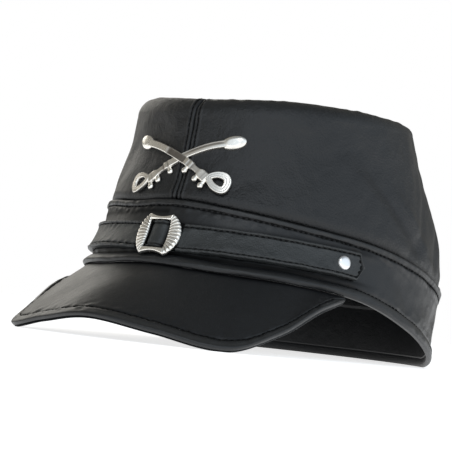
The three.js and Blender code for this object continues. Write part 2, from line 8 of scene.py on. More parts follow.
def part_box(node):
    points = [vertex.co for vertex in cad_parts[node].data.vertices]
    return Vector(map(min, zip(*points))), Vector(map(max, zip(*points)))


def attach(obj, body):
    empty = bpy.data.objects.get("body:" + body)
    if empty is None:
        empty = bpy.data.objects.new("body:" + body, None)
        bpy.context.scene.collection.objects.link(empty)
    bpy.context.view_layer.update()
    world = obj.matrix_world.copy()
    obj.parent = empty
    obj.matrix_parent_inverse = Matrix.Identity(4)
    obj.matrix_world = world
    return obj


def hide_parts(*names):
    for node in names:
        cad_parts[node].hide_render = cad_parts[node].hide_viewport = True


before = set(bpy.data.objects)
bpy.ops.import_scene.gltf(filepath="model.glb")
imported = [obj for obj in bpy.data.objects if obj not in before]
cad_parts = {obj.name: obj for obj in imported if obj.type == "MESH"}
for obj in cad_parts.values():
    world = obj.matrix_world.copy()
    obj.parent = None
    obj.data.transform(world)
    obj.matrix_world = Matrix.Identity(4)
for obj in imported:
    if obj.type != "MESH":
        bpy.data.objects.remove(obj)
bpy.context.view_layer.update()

# A black leather kepi cap with a curved visor, a band with a buckled strap and a crossed-sabres badge.
# Lengths are in millimetres until to_frame turns them into the frame's metres. Angles run round the head in
# degrees: 0 is the front, 90 the wearer's left, 180 the back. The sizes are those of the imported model.
# JOIN_LIFT, the creases, the relief and the stitches are the scene's own.
MM = 0.001

# Head opening, band and crown
RIM_WIDTH = 175
RIM_LENGTH = 220
RIM_RISE = 38
BAND_RISE = 34
TOP_RISE = 125
TOP_DOME = 3
SHOULDER_RADIUS = 10
BAND_HOLLOW = 1.9
FOLD_DEPTH = 2.5
JOIN_LIFT = 6  # how much higher the band's top edge stands before the wearer's right temple
CROWN_LEATHER = 1.6
BAND_LEATHER = 2
STRAP_LEATHER = 2
VISOR_UPPER_LEATHER = 1.7
VISOR_LOWER_LEATHER = 1.3
CLEARANCE = 0.3
HEM_DEPTH = 5
TUCKED_SHARE = 0.12  # the low part of the crown's side that bends out from behind the band
TOP_OVERLAP = 0.3  # how far the top panel's edge lies under the turned edge of the sides
NEAR_SEAM = 6  # degrees from a seam where the side panels are divided finely
ROLL_HEIGHT = 5.4
ROLL_DEPTH = 3.4
ROLL_BULGE = 1.4

# Visor
VISOR_REACH = 45.5
VISOR_SPAN = 62
VISOR_TUCK = 1.7
VISOR_BULGE = 0.9
VISOR_EDGE_INSET = 0.8

# Strap, rivets and buckle
STRAP_WIDTH = 15.4
STRAP_RISE = 14.1
RIVET_ANGLE = 58.2
STRAP_TAIL = 13.4
STRAP_LEAN = 0.29
STRAP_POINT = 4.5
STRAND_OFF = 0.9  # how far the strap's lower edge stands off the band between the buckle and the rivets
STRAP_FINE = 14  # the strap is divided finely this far from the buckle's middle
SHADE_PAST_RIVET = (16, 4)  # degrees past the rivets over which the strap's shade on the band ends
WINDOW_SHADE = (3.0, 5.2)  # from the buckle's middle, where the strap darkens towards the window's sides
RIVET_HEAD = 7.4
RIVET_RISE = 2.1
RIVET_FOOT = 5.6
RIVET_FOOT_DEPTH = 1
RIVET_SHANK = 2.6
BUCKLE_WIDTH = 24
BUCKLE_HEIGHT = 23.4
BUCKLE_WINDOW = 11
BUCKLE_LIFT = 2.2
BUCKLE_FLUTING = 0.5
BUCKLE_CORNER = 0.26  # along it from its middle to its corners, as a share of its width
BUCKLE_DIP = 0.07  # how far its ends curve in, as a share of its height
BUCKLE_LEAN = 0.09  # how far it leans along the strap, per length up it
GROOVES = 12
BAR_WIDTH = 3
BAR_LIFT = 1  # the bar's thickness
BAR_SINK = 1.2  # from the frame's back to the bar's

# Badge
BADGE_WIDTH = 65
BADGE_HEIGHT = 30
BADGE_LEVEL = 19  # its middle up from the band
BADGE_ASIDE = -3  # its middle from the front seam
BADGE_TURN = 2  # degrees
BADGE_BLADE = 4
BADGE_LIFT = 1.6  # each sabre's thickness
BADGE_STEP = 1  # how far the front sabre lies over the other
LOOP_DRAWN_IN = 0.88  # the guard's middle line, drawn in from its outline

# Sewing
STITCH_PITCH = 2.9
STITCH_LENGTH = 1.9
STITCH_THREAD = 0.85
STITCH_UNEVENNESS = 0.12
SEAM_HALF = 2.3  # from a crown seam to each of its stitch rows
HEM_STITCH = 3.4  # from the band's top edge to its stitch row
STRAP_STITCH = 1.8
VISOR_STITCH = 6.3

# Light: sides in degrees round from the cap's front to the wearer's left, and strengths of the room's walls
LIT_SIDE = 66
WARM_SIDE = -110
COOL_LIGHT = (0.84, 0.94, 1.04, 1)
WARM_LIGHT = (1.02, 0.98, 0.88, 1)
FRONT_LIGHT = 1.06
BACK_LIGHT = 0.27
CEILING_LIGHT = 0.25
SOFTBOXES = [
    {"name": "warm_light", "azimuth": -120, "elevation": 22, "distance": 1.4, "wide": 1.3, "tall": 0.55,
     "power": 3.1, "colour": (1.0, 0.97, 0.9)},
    {"name": "key_light", "azimuth": 28, "elevation": 38, "distance": 1.2, "wide": 0.5, "tall": 0.35,
     "power": 1.3, "colour": (0.97, 0.99, 1.0)},
]
FLOOR_GLOW = 0.75
FLOOR_HALF = 6.0  # metres
CAP_MIDDLE = Vector((0, 0, 0.065))  # metres

# Camera: where it stands from the cap in degrees and metres, its tilt, and its lens in millimetres
CAMERA_AZIMUTH = 30.84
CAMERA_ELEVATION = -2.77
CAMERA_TILT = 6.25
CAMERA_DISTANCE = 0.9
CAMERA_LENS = 132.65
TARGET_HEIGHT = 60
PICTURE_ASIDE = -24.4  # from the target to the middle of the picture
PICTURE_ABOVE = 4.65

# Rails up the crown: width and length as shares of the rim's, and the shift back as a share of its length
CROWN_RAILS = [
    {"width": 0.992, "length": 0.953, "shift": 0.045},
    {"width": 0.95, "length": 0.888, "shift": 0.037},
    {"width": 0.885, "length": 0.8, "shift": 0.011},
    {"width": 0.822, "length": 0.722, "shift": -0.024},
]

# Shares of the named sizes at equal steps from the front to the back. STRAP_RISES ends at the side.
RIM_HEIGHTS = (1, 0.957, 0.917, 0.8, 0.508, 0.205, 0, 0, 0)
BAND_HEIGHTS = (0.96, 0.926, 0.847, 0.841, 0.946, 1.032, 1.05, 1.025, 1)
STRAP_RISES = (1, 1.12, 1.135, 1.24, 1.5)
TOP_HEIGHTS = (0.99, 1.01, 1.015, 1.015, 0.985)
BAND_HOLLOWS = (1, 1, 0.75, 0.3, 0.3)
SHOULDER_TURNS = (1, 1, 0.7, 0.35, 0.5)

# The visor's sections from its middle to its corner
VISOR_SECTIONS = [
    {"at": 0, "reach": 1, "aim": 0, "lift": 0.25},
    {"at": 0.289, "reach": 0.955, "aim": 6.7, "lift": 0.14},
    {"at": 0.577, "reach": 0.955, "aim": 17, "lift": 0.02},
    {"at": 0.75, "reach": 0.67, "aim": 21.5, "lift": 0.27},
    {"at": 0.89, "reach": 0.37, "aim": 28.5, "lift": 0.62},
    {"at": 1, "reach": 0.05, "aim": 45, "lift": 0.78},
]

# Dents (positive) and folds (negative) of the crown: middle in degrees and as a share of the way up, size the
# same way, lean in degrees per crown height, and depth as a share of FOLD_DEPTH
DENTS = [
    {"angle": -36, "up": 0.55, "across": 9, "tall": 0.3, "lean": 10, "depth": 0.8},
    {"angle": 24, "up": 0.42, "across": 12, "tall": 0.22, "lean": 0, "depth": 0.35},
    {"angle": 104, "up": 0.5, "across": 9, "tall": 0.34, "lean": 34, "depth": 0.6},
    {"angle": 120, "up": 0.42, "across": 7, "tall": 0.3, "lean": 30, "depth": -0.5},
    {"angle": 70, "up": 0.72, "across": 16, "tall": 0.2, "lean": -20, "depth": 0.45},
    {"angle": 160, "up": 0.5, "across": 14, "tall": 0.3, "lean": 0, "depth": 0.6},
    {"angle": -78, "up": 0.6, "across": 14, "tall": 0.25, "lean": 20, "depth": 0.6},
    {"angle": -122, "up": 0.45, "across": 10, "tall": 0.3, "lean": -30, "depth": 0.8},
]

# Finer creases that only the surface shows, in the same columns
CREASES = [
    {"angle": 96, "up": 0.34, "across": 3.2, "tall": 0.3, "lean": 40, "depth": 0.4},
    {"angle": 112, "up": 0.3, "across": 3.6, "tall": 0.28, "lean": 36, "depth": 0.5},
    {"angle": 128, "up": 0.28, "across": 3.4, "tall": 0.3, "lean": 30, "depth": 0.45},
    {"angle": 90, "up": 0.3, "across": 4, "tall": 0.22, "lean": -40, "depth": -0.45},
    {"angle": 81, "up": 0.3, "across": 5, "tall": 0.25, "lean": -40, "depth": 0.5},
    {"angle": 74, "up": 0.6, "across": 7, "tall": 0.25, "lean": -30, "depth": 0.4},
    {"angle": 101, "up": 0.72, "across": 4, "tall": 0.22, "lean": 30, "depth": 0.32},
    {"angle": 8, "up": 0.2, "across": 3, "tall": 0.16, "lean": -14, "depth": 0.1},
    {"angle": -12, "up": 0.24, "across": 3, "tall": 0.2, "lean": 16, "depth": 0.12},
    {"angle": -60, "up": 0.4, "across": 4, "tall": 0.3, "lean": -24, "depth": 0.4},
    {"angle": -140, "up": 0.4, "across": 4, "tall": 0.3, "lean": -24, "depth": 0.24},
    {"angle": 146, "up": 0.5, "across": 4, "tall": 0.3, "lean": 24, "depth": 0.2},
]

# Soft folds of the band behind the strap's tabs, in the same columns
BAND_FOLDS = [
    {"angle": 68, "up": 0.35, "across": 2.6, "tall": 0.4, "lean": -18, "depth": 0.3},
    {"angle": 76, "up": 0.5, "across": 3.4, "tall": 0.4, "lean": -22, "depth": -0.2},
    {"angle": 86, "up": 0.4, "across": 3.6, "tall": 0.4, "lean": -20, "depth": 0.22},
    {"angle": 112, "up": 0.5, "across": 5, "tall": 0.5, "lean": 10, "depth": 0.3},
    {"angle": -70, "up": 0.4, "across": 3, "tall": 0.4, "lean": 18, "depth": 0.3},
    {"angle": -84, "up": 0.5, "across": 3.6, "tall": 0.4, "lean": 20, "depth": 0.24},
    {"angle": 150, "up": 0.5, "across": 6, "tall": 0.5, "lean": 0, "depth": 0.3},
    {"angle": -140, "up": 0.5, "across": 6, "tall": 0.5, "lean": 0, "depth": 0.34},
]


def spline(values, place, before, after):
    """Smooth curve through values at whole places, with the values past its two ends."""
    row = np.array([before, *values, after], float)
    start = np.clip(np.floor(place).astype(int), 0, len(values) - 2)
    u = place - start
    a, b, c, d = (row[start + k] for k in range(4))
    square = 2 * a - 5 * b + 4 * c - d
    cube = 3 * b - a - 3 * c + d
    return 0.5 * (2 * b + (c - a) * u + square * u**2 + cube * u**3)


def from_front(angle):
    """Degrees from the front, the same to both sides."""
    return np.abs((np.asarray(angle, float) + 540) % 360 - 180)


def around(row, angle, last_angle=180):
    return spline(row, from_front(angle) / last_angle * (len(row) - 1), row[1], row[-2])


def up_crown(column, up):
    """A column of the crown's rails at a share of the way up its side."""
    values = [rail[column] for rail in CROWN_RAILS]
    place = np.asarray(up, float) * (len(values) - 1)
    return spline(values, place, 2 * values[0] - values[1], 2 * values[-1] - values[-2])


def smooth(low, high, value):
    """0 up to low, 1 from high on, and a soft step between them."""
    u = np.clip((value - low) / (high - low), 0, 1)
    return u * u * (3 - 2 * u)


def bump(value, middle, width):
    return np.exp(-(((value - middle) / width) ** 2))


def ripple(points, wavelength, seed, waves=9):
    """Soft irregular waves through space, about -1 to 1."""
    random = np.random.default_rng(seed)
    total = 0
    for _ in range(waves):
        direction = random.normal(size=3)
        direction /= np.linalg.norm(direction)
        count = 2 * math.pi / wavelength * random.uniform(0.7, 1.4)
        total = total + np.sin(points @ direction * count + random.uniform(0, 2 * math.pi))
    return total / math.sqrt(waves)


def rail_point(width, length, shift, angle, height):
    """A point on an oval round the head, from the columns of a rail."""
    turn = np.radians(angle)
    x = RIM_WIDTH / 2 * width * np.sin(turn)
    y = RIM_LENGTH * shift - RIM_LENGTH / 2 * length * np.cos(turn)
    return np.stack(np.broadcast_arrays(x, y, height), -1)


def out_direction(angle):
    """Level and straight out of the head."""
    turn = np.radians(angle)
    direction = np.stack([np.sin(turn) / RIM_WIDTH, -np.cos(turn) / RIM_LENGTH, 0 * turn], -1)
    return direction / np.linalg.norm(direction, axis=-1, keepdims=True)


def rim_height(angle):
    return np.maximum(0, RIM_RISE * around(RIM_HEIGHTS, angle))


def join_height(angle):
    """The height at which the band meets the crown."""
    turned = (np.asarray(angle, float) + 180) % 360 - 180
    lift = JOIN_LIFT * smooth(-12, -48, turned) * smooth(-125, -75, turned)
    return rim_height(angle) + BAND_RISE * around(BAND_HEIGHTS, angle) + lift


def rim_and_join(angle):
    rim = rail_point(1, 1, 0, angle, rim_height(angle))
    rail = CROWN_RAILS[0]
    return rim, rail_point(rail["width"], rail["length"], rail["shift"], angle, join_height(angle))


def band_slant(angle):
    """The length up the band's face."""
    rim, join = rim_and_join(angle)
    return np.linalg.norm(join - rim, axis=-1)


def band_point(angle, up, out=0):
    """A point of the band's outer face, a length up it from the rim, moved outwards along the level."""
    angle, up, out = np.broadcast_arrays(np.asarray(angle, float), up, out)
    rim, join = rim_and_join(angle)
    share = up / np.linalg.norm(join - rim, axis=-1)
    hollow = BAND_HOLLOW * around(BAND_HOLLOWS, angle) * 4 * share * (1 - share)
    return rim + (join - rim) * share[..., None] + out_direction(angle) * (out - hollow)[..., None]


def dent_depth(table, angle, up):
    """How far in the dents of a table go."""
    depth = 0
    for dent in table:
        above = up - dent["up"]
        away = (angle - dent["angle"] - dent["lean"] * above + 540) % 360 - 180
        depth = depth + dent["depth"] * np.exp(-((away / dent["across"]) ** 2) - (above / dent["tall"]) ** 2)
    return FOLD_DEPTH * depth


def top_height(angle):
    return TOP_RISE * around(TOP_HEIGHTS, angle)


def crown_point(angle, s):
    """The crown's outer face.

    s is -1 to 0 on the hem behind the band, 0 to 1 on the side and 1 to 2 on the turn to the top.
    """
    angle, s = np.broadcast_arrays(np.asarray(angle, float), np.asarray(s, float))
    side = np.clip(s, 0, 1)
    radius = SHOULDER_RADIUS * around(SHOULDER_TURNS, angle)
    height = join_height(angle) + (top_height(angle) - radius - join_height(angle)) * side
    tucked = np.maximum(0, 1 - side / TUCKED_SHARE)
    turn = np.radians(90) * np.maximum(0, s - 1)
    inwards = (BAND_LEATHER + CLEARANCE) * tucked**2
    inwards = inwards + dent_depth(DENTS, angle, side) * np.minimum(1, side / TUCKED_SHARE)
    inwards = inwards + radius * (1 - np.cos(turn))
    width, length, shift = (up_crown(column, side) for column in ("width", "length", "shift"))
    point = rail_point(width, length, shift, angle, height)
    point = point - out_direction(angle) * inwards[..., None]
    point[..., 2] += radius * np.sin(turn)
    hem = band_point(angle, band_slant(angle) + np.minimum(s, 0) * HEM_DEPTH, -(BAND_LEATHER + CLEARANCE))
    return np.where((s < 0)[..., None], hem, point)


def face_normal(face, angle, s, low, high):
    """Straight out of a face whose first value runs round the cap and whose second runs up it."""
    turn = 0.25
    step = 0.006 * (high - low)
    along = face(angle + turn, s) - face(angle - turn, s)
    up = face(angle, np.minimum(s + step, high)) - face(angle, np.maximum(s - step, low))
    normal = np.cross(along, up)
    return normal / np.linalg.norm(normal, axis=-1, keepdims=True)


def rounded(distance, radius):
    """How far a rounded edge falls away, at a distance in from it."""
    inner = radius - np.clip(distance, 0, radius)
    return radius - np.sqrt(np.maximum(0, radius**2 - inner**2))


# Where the rim's middle stands in the frame
BACK = 180.0
RIM_MIDDLE_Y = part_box("band")[1][1] / MM - rim_and_join(BACK)[1][1]


def to_frame(points):
    return (np.asarray(points) + np.array([0, RIM_MIDDLE_Y, 0])) * MM


def put_in_scene(name, data):
    thing = bpy.data.objects.new(name, data)
    bpy.context.scene.collection.objects.link(thing)
    return thing


def finish_piece(name, mesh, replaced=()):
    """A smooth piece from a finished mesh, riding on the root."""
    mesh.shade_smooth()
    piece = put_in_scene(name, mesh)
    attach(piece, "root")
    if replaced:
        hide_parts(*replaced)


def make_object(name, points, faces, material, replaced=(), wear_and_painted_light=None):
    """A piece in the frame from points in millimetres."""
    mesh = bpy.data.meshes.new(name)
    mesh.from_pydata(to_frame(points).tolist(), [], faces)
    mesh.validate()
    mesh.update()
    if wear_and_painted_light is not None:
        layer = mesh.attributes.new("wear_and_painted_light", "FLOAT", "POINT")
        layer.data.foreach_set("value", np.asarray(wear_and_painted_light, np.float32))
    mesh.materials.append(material)
    finish_piece(name, mesh, replaced)


def section_faces(sections, rows, ring):
    """Quads of a solid through sections, each a front row and a back row of points from bottom to top."""
    i = np.arange(sections if ring else sections - 1)[:, None]
    k = (i + 1) % sections
    j = np.arange(rows - 1)[None, :]
    last, top = sections - 1, rows - 1

    def front(section, row):
        return section * 2 * rows + row

    def back(section, row):
        return section * 2 * rows + rows + row

    quads = [
        (front(i, j), front(k, j), front(k, j + 1), front(i, j + 1)),
        (back(i, j + 1), back(k, j + 1), back(k, j), back(i, j)),
        (back(i, 0), back(k, 0), front(k, 0), front(i, 0)),
        (front(i, top), front(k, top), back(k, top), back(i, top)),
    ]
    if not ring:
        quads.append((front(0, j), front(0, j + 1), back(0, j + 1), back(0, j)))
        quads.append((back(last, j), back(last, j + 1), front(last, j + 1), front(last, j)))
    stacked = [np.stack(np.broadcast_arrays(*quad), -1).reshape(-1, 4) for quad in quads]
    return np.concatenate(stacked).tolist()


def section_lists(front, back, ring, wear_and_painted_light=0):
    """Points, faces and per-point wear and painted light of a solid through sections. The values given are
    those of its front.
    """
    points = np.concatenate([front, back], axis=1).reshape(-1, 3)
    wear_and_painted_light = np.broadcast_to(wear_and_painted_light, front.shape[:2])
    return points, section_faces(*front.shape[:2], ring), np.concatenate([wear_and_painted_light, 0 * wear_and_painted_light], axis=1).ravel()


def through_sections(name, front, back, ring, material, replaced=(), wear_and_painted_light=0):
    points, faces, wear_and_painted_light = section_lists(front, back, ring, wear_and_painted_light)
    make_object(name, points, faces, material, replaced, wear_and_painted_light)


class Shade:
    """A socket of a shader tree that takes part in sums as a number does."""

    def __init__(self, tree, socket=None):
        self.tree, self.socket = tree, socket

    def add(self, kind, settings=None, inputs=None, output=0):
        """Adds a node: its settings first, then the values and links of its sockets."""
        node = self.tree.nodes.new(kind)
        for name, value in (settings or {}).items():
            setattr(node, name, value)
        for name, value in (inputs or {}).items():
            if isinstance(value, Shade):
                self.tree.links.new(value.socket, node.inputs[name])
            else:
                node.inputs[name].default_value = value
        return Shade(self.tree, node.outputs[output])

    def maths(self, operation, *values, clamp=False):
        settings = {"operation": operation, "use_clamp": clamp}
        return self.add("ShaderNodeMath", settings, dict(enumerate(values)))

    def __add__(self, other):
        return self.maths("ADD", self, other)

    def __sub__(self, other):
        return self.maths("SUBTRACT", self, other)

    def __rsub__(self, other):
        return self.maths("SUBTRACT", other, self)

    def __mul__(self, other):
        return self.maths("MULTIPLY", self, other)

    __radd__ = __add__
    __rmul__ = __mul__

    def clamped(self):
        return self.maths("ADD", self, 0, clamp=True)

    def between(self, low, high):
        """0 where this is at or under low, 1 at or over high, and a soft step between."""
        settings = {"interpolation_type": "SMOOTHSTEP"}
        return self.add("ShaderNodeMapRange", settings, {0: self, 1: low, 2: high})

    def noise(self, scale, detail, distortion=0.0):
        """Cloudy noise at this place."""
        sizes = {"Vector": self, "Scale": scale, "Detail": detail, "Distortion": distortion}
        return self.add("ShaderNodeTexNoise", None, sizes)

    def bumps(self, strength, distance):
        """A surface direction from this height."""
        return self.add("ShaderNodeBump", None, {"Strength": strength, "Distance": distance, "Height": self})

    def mixed(self, first, second):
        """The colours first and second, mixed by this factor."""
        return self.add("ShaderNodeMix", {"data_type": "RGBA"}, {0: self, 6: first, 7: second}, output=2)


def new_finish(name):
    """A material with its shader node, and a Shade to build on."""
    material = bpy.data.materials.new(name)
    material.use_nodes = True
    shader = material.node_tree.nodes["Principled BSDF"]
    return material, shader, Shade(material.node_tree)


def connect(material, shade, node, socket):
    material.node_tree.links.new(shade.socket, node.inputs[socket])


def leather_finish(name, black, worn_and_highlit, gloss, grain_size, grain_depth, wrinkle_depth, shine=0.5):
    """Satin dyed leather with a fine pebbled grain and a cloudy gloss.

    Where its points' attribute is over 0 it mixes in a paler colour: worn ridges, and on the welt and the
    visor's lip a painted highlight. Where it is under 0 it mixes in an unlit black: painted shade in creases,
    stitch rows, gaps and beside the strap.
    """
    material, shader, shade = new_finish(name)
    place = shade.add("ShaderNodeTexCoord", output="Object")
    clouds = place.noise(28, 3)
    mottle = place.noise(260, 4)
    grain = {"Vector": place, "Scale": 1 / grain_size}
    cells = shade.add("ShaderNodeTexVoronoi", {"feature": "SMOOTH_F1"}, grain)
    pores = place.noise(2.6 / grain_size, 2)
    wrinkles = place.noise(130, 3, 0.8)
    wear_and_painted_light = shade.add("ShaderNodeAttribute", {"attribute_name": "wear_and_painted_light"}, output="Fac")
    tone = (clouds * 0.6 + mottle * 0.4).between(0.3, 0.7)
    colour = tone.mixed(black, tuple(1.5 * part for part in black[:3]) + (1,))
    # Paler where the attribute is over 0: worn ridges, and painted highlights on the welt and the visor's lip
    colour = (wear_and_painted_light * (mottle + 0.5)).clamped().mixed(colour, worn_and_highlit)
    height = (cells * 0.7 + pores * 0.5 + mottle * 0.6) * grain_depth + wrinkles * wrinkle_depth
    connect(material, colour, shader, "Base Color")
    connect(material, clouds * 0.14 + mottle * 0.1 + (gloss - 0.12), shader, "Roughness")
    connect(material, height.bumps(0.8, MM), shader, "Normal")
    shader.inputs["Specular IOR Level"].default_value = shine
    # Painted shade: an unlit black mixed in where the attribute is under 0
    unlit = shade.add("ShaderNodeBsdfDiffuse", None, {"Color": (0.001, 0.001, 0.001, 1), "Roughness": 1})
    leather = Shade(material.node_tree, shader.outputs[0])
    both = shade.add("ShaderNodeMixShader", None, {0: (0 - wear_and_painted_light).clamped(), 1: leather, 2: unlit})
    connect(material, both, material.node_tree.nodes["Material Output"], "Surface")
    return material


def metal_finish(name, bright, dark, gloss, blemish):
    """Plated metal: dark in its hollows, with faint scratches and casting unevenness."""
    material, shader, shade = new_finish(name)
    place = shade.add("ShaderNodeTexCoord", output="Object")
    cast = place.noise(420, 4)
    fine = place.noise(1800, 2)
    hollow = shade.add("ShaderNodeAttribute", {"attribute_name": "wear_and_painted_light"}, output="Fac")
    tarnish = (hollow * 0.9 + (cast - 0.5) * blemish).clamped()
    connect(material, tarnish.mixed(bright, dark), shader, "Base Color")
    connect(material, cast * 0.12 + tarnish * 0.25 + (gloss - 0.06), shader, "Roughness")
    connect(material, (cast + fine * 0.3).bumps(0.35, 0.08 * MM), shader, "Normal")
    shader.inputs["Metallic"].default_value = 1
    return material


BLACK = (0.0042, 0.0047, 0.0055, 1)
STRAP_BLACK = (0.019, 0.021, 0.0215, 1)
THREAD_BLACK = (0.002, 0.002, 0.002, 1)
# Paler leather for worn ridges, and for painted highlights on the welt and the visor's lip
WORN_AND_HIGHLIT = (0.03, 0.03, 0.029, 1)
NICKEL = (1, 0.965, 0.9, 1)
TARNISH = (0.13, 0.11, 0.09, 1)
CHROME = (0.98, 0.98, 0.98, 1)
CHROME_SHADE = (0.4, 0.4, 0.4, 1)
crown_skin = leather_finish(
    "crown_leather", BLACK, WORN_AND_HIGHLIT, gloss=0.44, grain_size=0.85 * MM, grain_depth=0.32, wrinkle_depth=0.75
)
smooth_skin = leather_finish(
    "smooth_leather", BLACK, WORN_AND_HIGHLIT, gloss=0.4, grain_size=0.7 * MM, grain_depth=0.1, wrinkle_depth=0.25
)
strap_skin = leather_finish(
    "strap_leather", STRAP_BLACK, WORN_AND_HIGHLIT, gloss=0.4, grain_size=0.75 * MM, grain_depth=0.32, wrinkle_depth=0.5
)
thread = leather_finish(
    "black_thread",
    THREAD_BLACK,
    BLACK,
    gloss=0.75,
    grain_size=0.25 * MM,
    grain_depth=0.05,
    wrinkle_depth=0,
    shine=0.15,
)
nickel = metal_finish("old_nickel", NICKEL, TARNISH, gloss=0.26, blemish=0.22)
chrome = metal_finish("rivet_chrome", CHROME, CHROME_SHADE, gloss=0.3, blemish=0.1)


def panel_angles():
    """The columns of a side panel, close together beside its seams."""
    near = np.concatenate([[0], np.arange(0.1, NEAR_SEAM, 0.16)])
    return np.concatenate([near, np.linspace(NEAR_SEAM, 180 - NEAR_SEAM, 260), 180 - near[::-1]])


def crown_relief(angle, s, point):
    """How far the crown's leather stands out of its plain form, in millimetres."""
    across = np.abs(point[..., 0])
    side = np.clip(s, 0, 1)
    ridge = 0.28 * smooth(4.3, 3.3, across)
    ridge = ridge - 0.34 * bump(across, SEAM_HALF, 0.42) - 0.75 * bump(across, 0, 0.55)
    pulls = 0.16 * ripple(point, 6.5, seed=3) * np.exp(-((across / 5.5) ** 2))
    gathers = 0.16 * ripple(point * np.array([1, 1, 0.5]), 7, seed=4) * bump(side, 0.02, 0.07)
    waves = 0.4 * ripple(point, 34, seed=5) + 0.12 * ripple(point, 13, seed=6)
    waves = waves * (1 - 0.8 * smooth(0.85, 1.2, s))
    creases = -dent_depth(CREASES, angle, side)
    top_pulls = 0.14 * ripple(point, 7, seed=8) * bump(s, 1.9, 0.35)
    top_pulls = top_pulls - 0.7 * bump(across, 0, 2.4) * bump(s, 1.5, 0.4)
    relief = ridge + pulls + gathers + waves + creases + top_pulls
    return relief * smooth(-0.05, 0.05, s) * smooth(2.0, 1.86, s)


def crown_surface(angle, s, out=0):
    """The crown's finished outer surface and its direction."""
    normal = face_normal(crown_point, angle, s, -1, 2)
    base = crown_point(angle, s)
    return base + normal * (crown_relief(angle, s, base) + out)[..., None], normal


def make_crown_panel(side):
    rows = np.concatenate([[-1, -0.6, -0.25], np.linspace(0, 1, 72), np.linspace(1, 2, 16)[1:]])
    angle, s = np.meshgrid(side * panel_angles(), rows, indexing="ij")
    if side < 0:
        angle, s = angle[::-1], s[::-1]
    front, normal = crown_surface(angle, s)
    across = np.abs(front[..., 0])
    # Paler worn ridges beside the seams and on the turn to the top, and painted shade in the seam, along its
    # stitch rows and where the crown goes behind the band
    wear_and_painted_light = 0.25 * bump(across, 1.3, 0.4) + 0.2 * bump(across, 3.4, 0.5) + 0.15 * bump(s, 1.5, 0.4)
    wear_and_painted_light = wear_and_painted_light - 0.9 * bump(across, 0, 0.45) - 0.65 * bump(across, SEAM_HALF, 0.55)
    wear_and_painted_light = wear_and_painted_light - 0.95 * bump(s, 0, 0.022)
    name = "crown_left" if side > 0 else "crown_right"
    back = front - normal * CROWN_LEATHER
    through_sections(name + "_skin", front, back, False, crown_skin, (name,), wear_and_painted_light)


RING = np.arange(0, 360, 0.75)


def make_crown_top():
    """The top panel: rings from its edge to a point in its middle, and the same again below."""
    rows = np.concatenate([np.linspace(0, 0.12, 16), np.linspace(0.14, 1, 26)])
    edge = crown_point(RING, 2.0) + out_direction(RING) * TOP_OVERLAP
    last = CROWN_RAILS[-1]
    middle = rail_point(last["width"], last["length"], last["shift"], 90.0, 0)
    middle[0] = 0
    q = rows[None, :]
    front = edge[:, None, :] * (1 - q[..., None]) + middle * q[..., None]
    run = np.linalg.norm(edge - middle, axis=-1)[:, None] * q
    front[..., 2] = edge[:, None, 2] * (1 - q) + TOP_RISE * q + TOP_DOME * (1 - (1 - q) ** 2)
    front[..., 2] -= 0.5 * rounded(run, 1.5) + 0.3 * bump(run, 3.2, 0.5) * (1 - q)
    waves = 0.4 * ripple(front, 42, seed=9) + 0.12 * ripple(front, 14, seed=10)
    front[..., 2] += waves * smooth(0, 0.08, q)
    points = np.concatenate([front[:, :-1].reshape(-1, 3), front[:, -1].mean(0)[None]])
    wide = len(rows) - 1
    offset = len(points)
    pole = offset - 1
    faces = []
    for i in range(len(RING)):
        here = i * wide
        following = (i + 1) % len(RING) * wide
        above = [[here + j, following + j, following + j + 1, here + j + 1] for j in range(wide - 1)]
        above.append([here + wide - 1, following + wide - 1, pole])
        faces.extend(above)
        faces.extend([offset + v for v in reversed(face)] for face in above)
        faces.append([offset + here, offset + following, following, here])
    points = np.concatenate([points, points - np.array([0, 0, CROWN_LEATHER])])
    make_object("crown_top_skin", points, faces, crown_skin, ("crown_top",))


def band_relief(angle, up, point):
    """How far the band's leather stands out of its plain form: its turned edge, sewing, folds and gap."""
    from_top = band_slant(angle) - up
    lip = 0.5 * smooth(HEM_STITCH, HEM_STITCH - 1.2, from_top) - rounded(from_top, 1.0)
    lip = lip - 0.42 * bump(from_top, HEM_STITCH, 0.55)
    pulls = 0.24 * ripple(point, 5, seed=11) * np.exp(-((from_top - HEM_STITCH) / 4) ** 2)
    low_pulls = 0.2 * ripple(point, 5.5, seed=12) * np.exp(-((up - ROLL_HEIGHT) / 5) ** 2)
    waves = 0.3 * ripple(point, 30, seed=13) + 0.1 * ripple(point, 12, seed=14)
    waves = waves * (1 - 0.8 * front_part(angle))
    folds = -dent_depth(BAND_FOLDS, angle, up / band_slant(angle))
    gap = (0.6 + 0.5 * front_part(angle)) * bump(up, ROLL_HEIGHT + 0.3, 0.9 + 0.5 * front_part(angle))
    return lip + pulls + low_pulls + waves + folds - gap


def band_normal(angle, up):
    return face_normal(band_point, angle, up, -60, 60)


def band_surface(angle, up, out=0):
    normal = band_normal(angle, up)
    base = band_point(angle, up)
    return base + normal * (band_relief(angle, up, base) + out)[..., None], normal


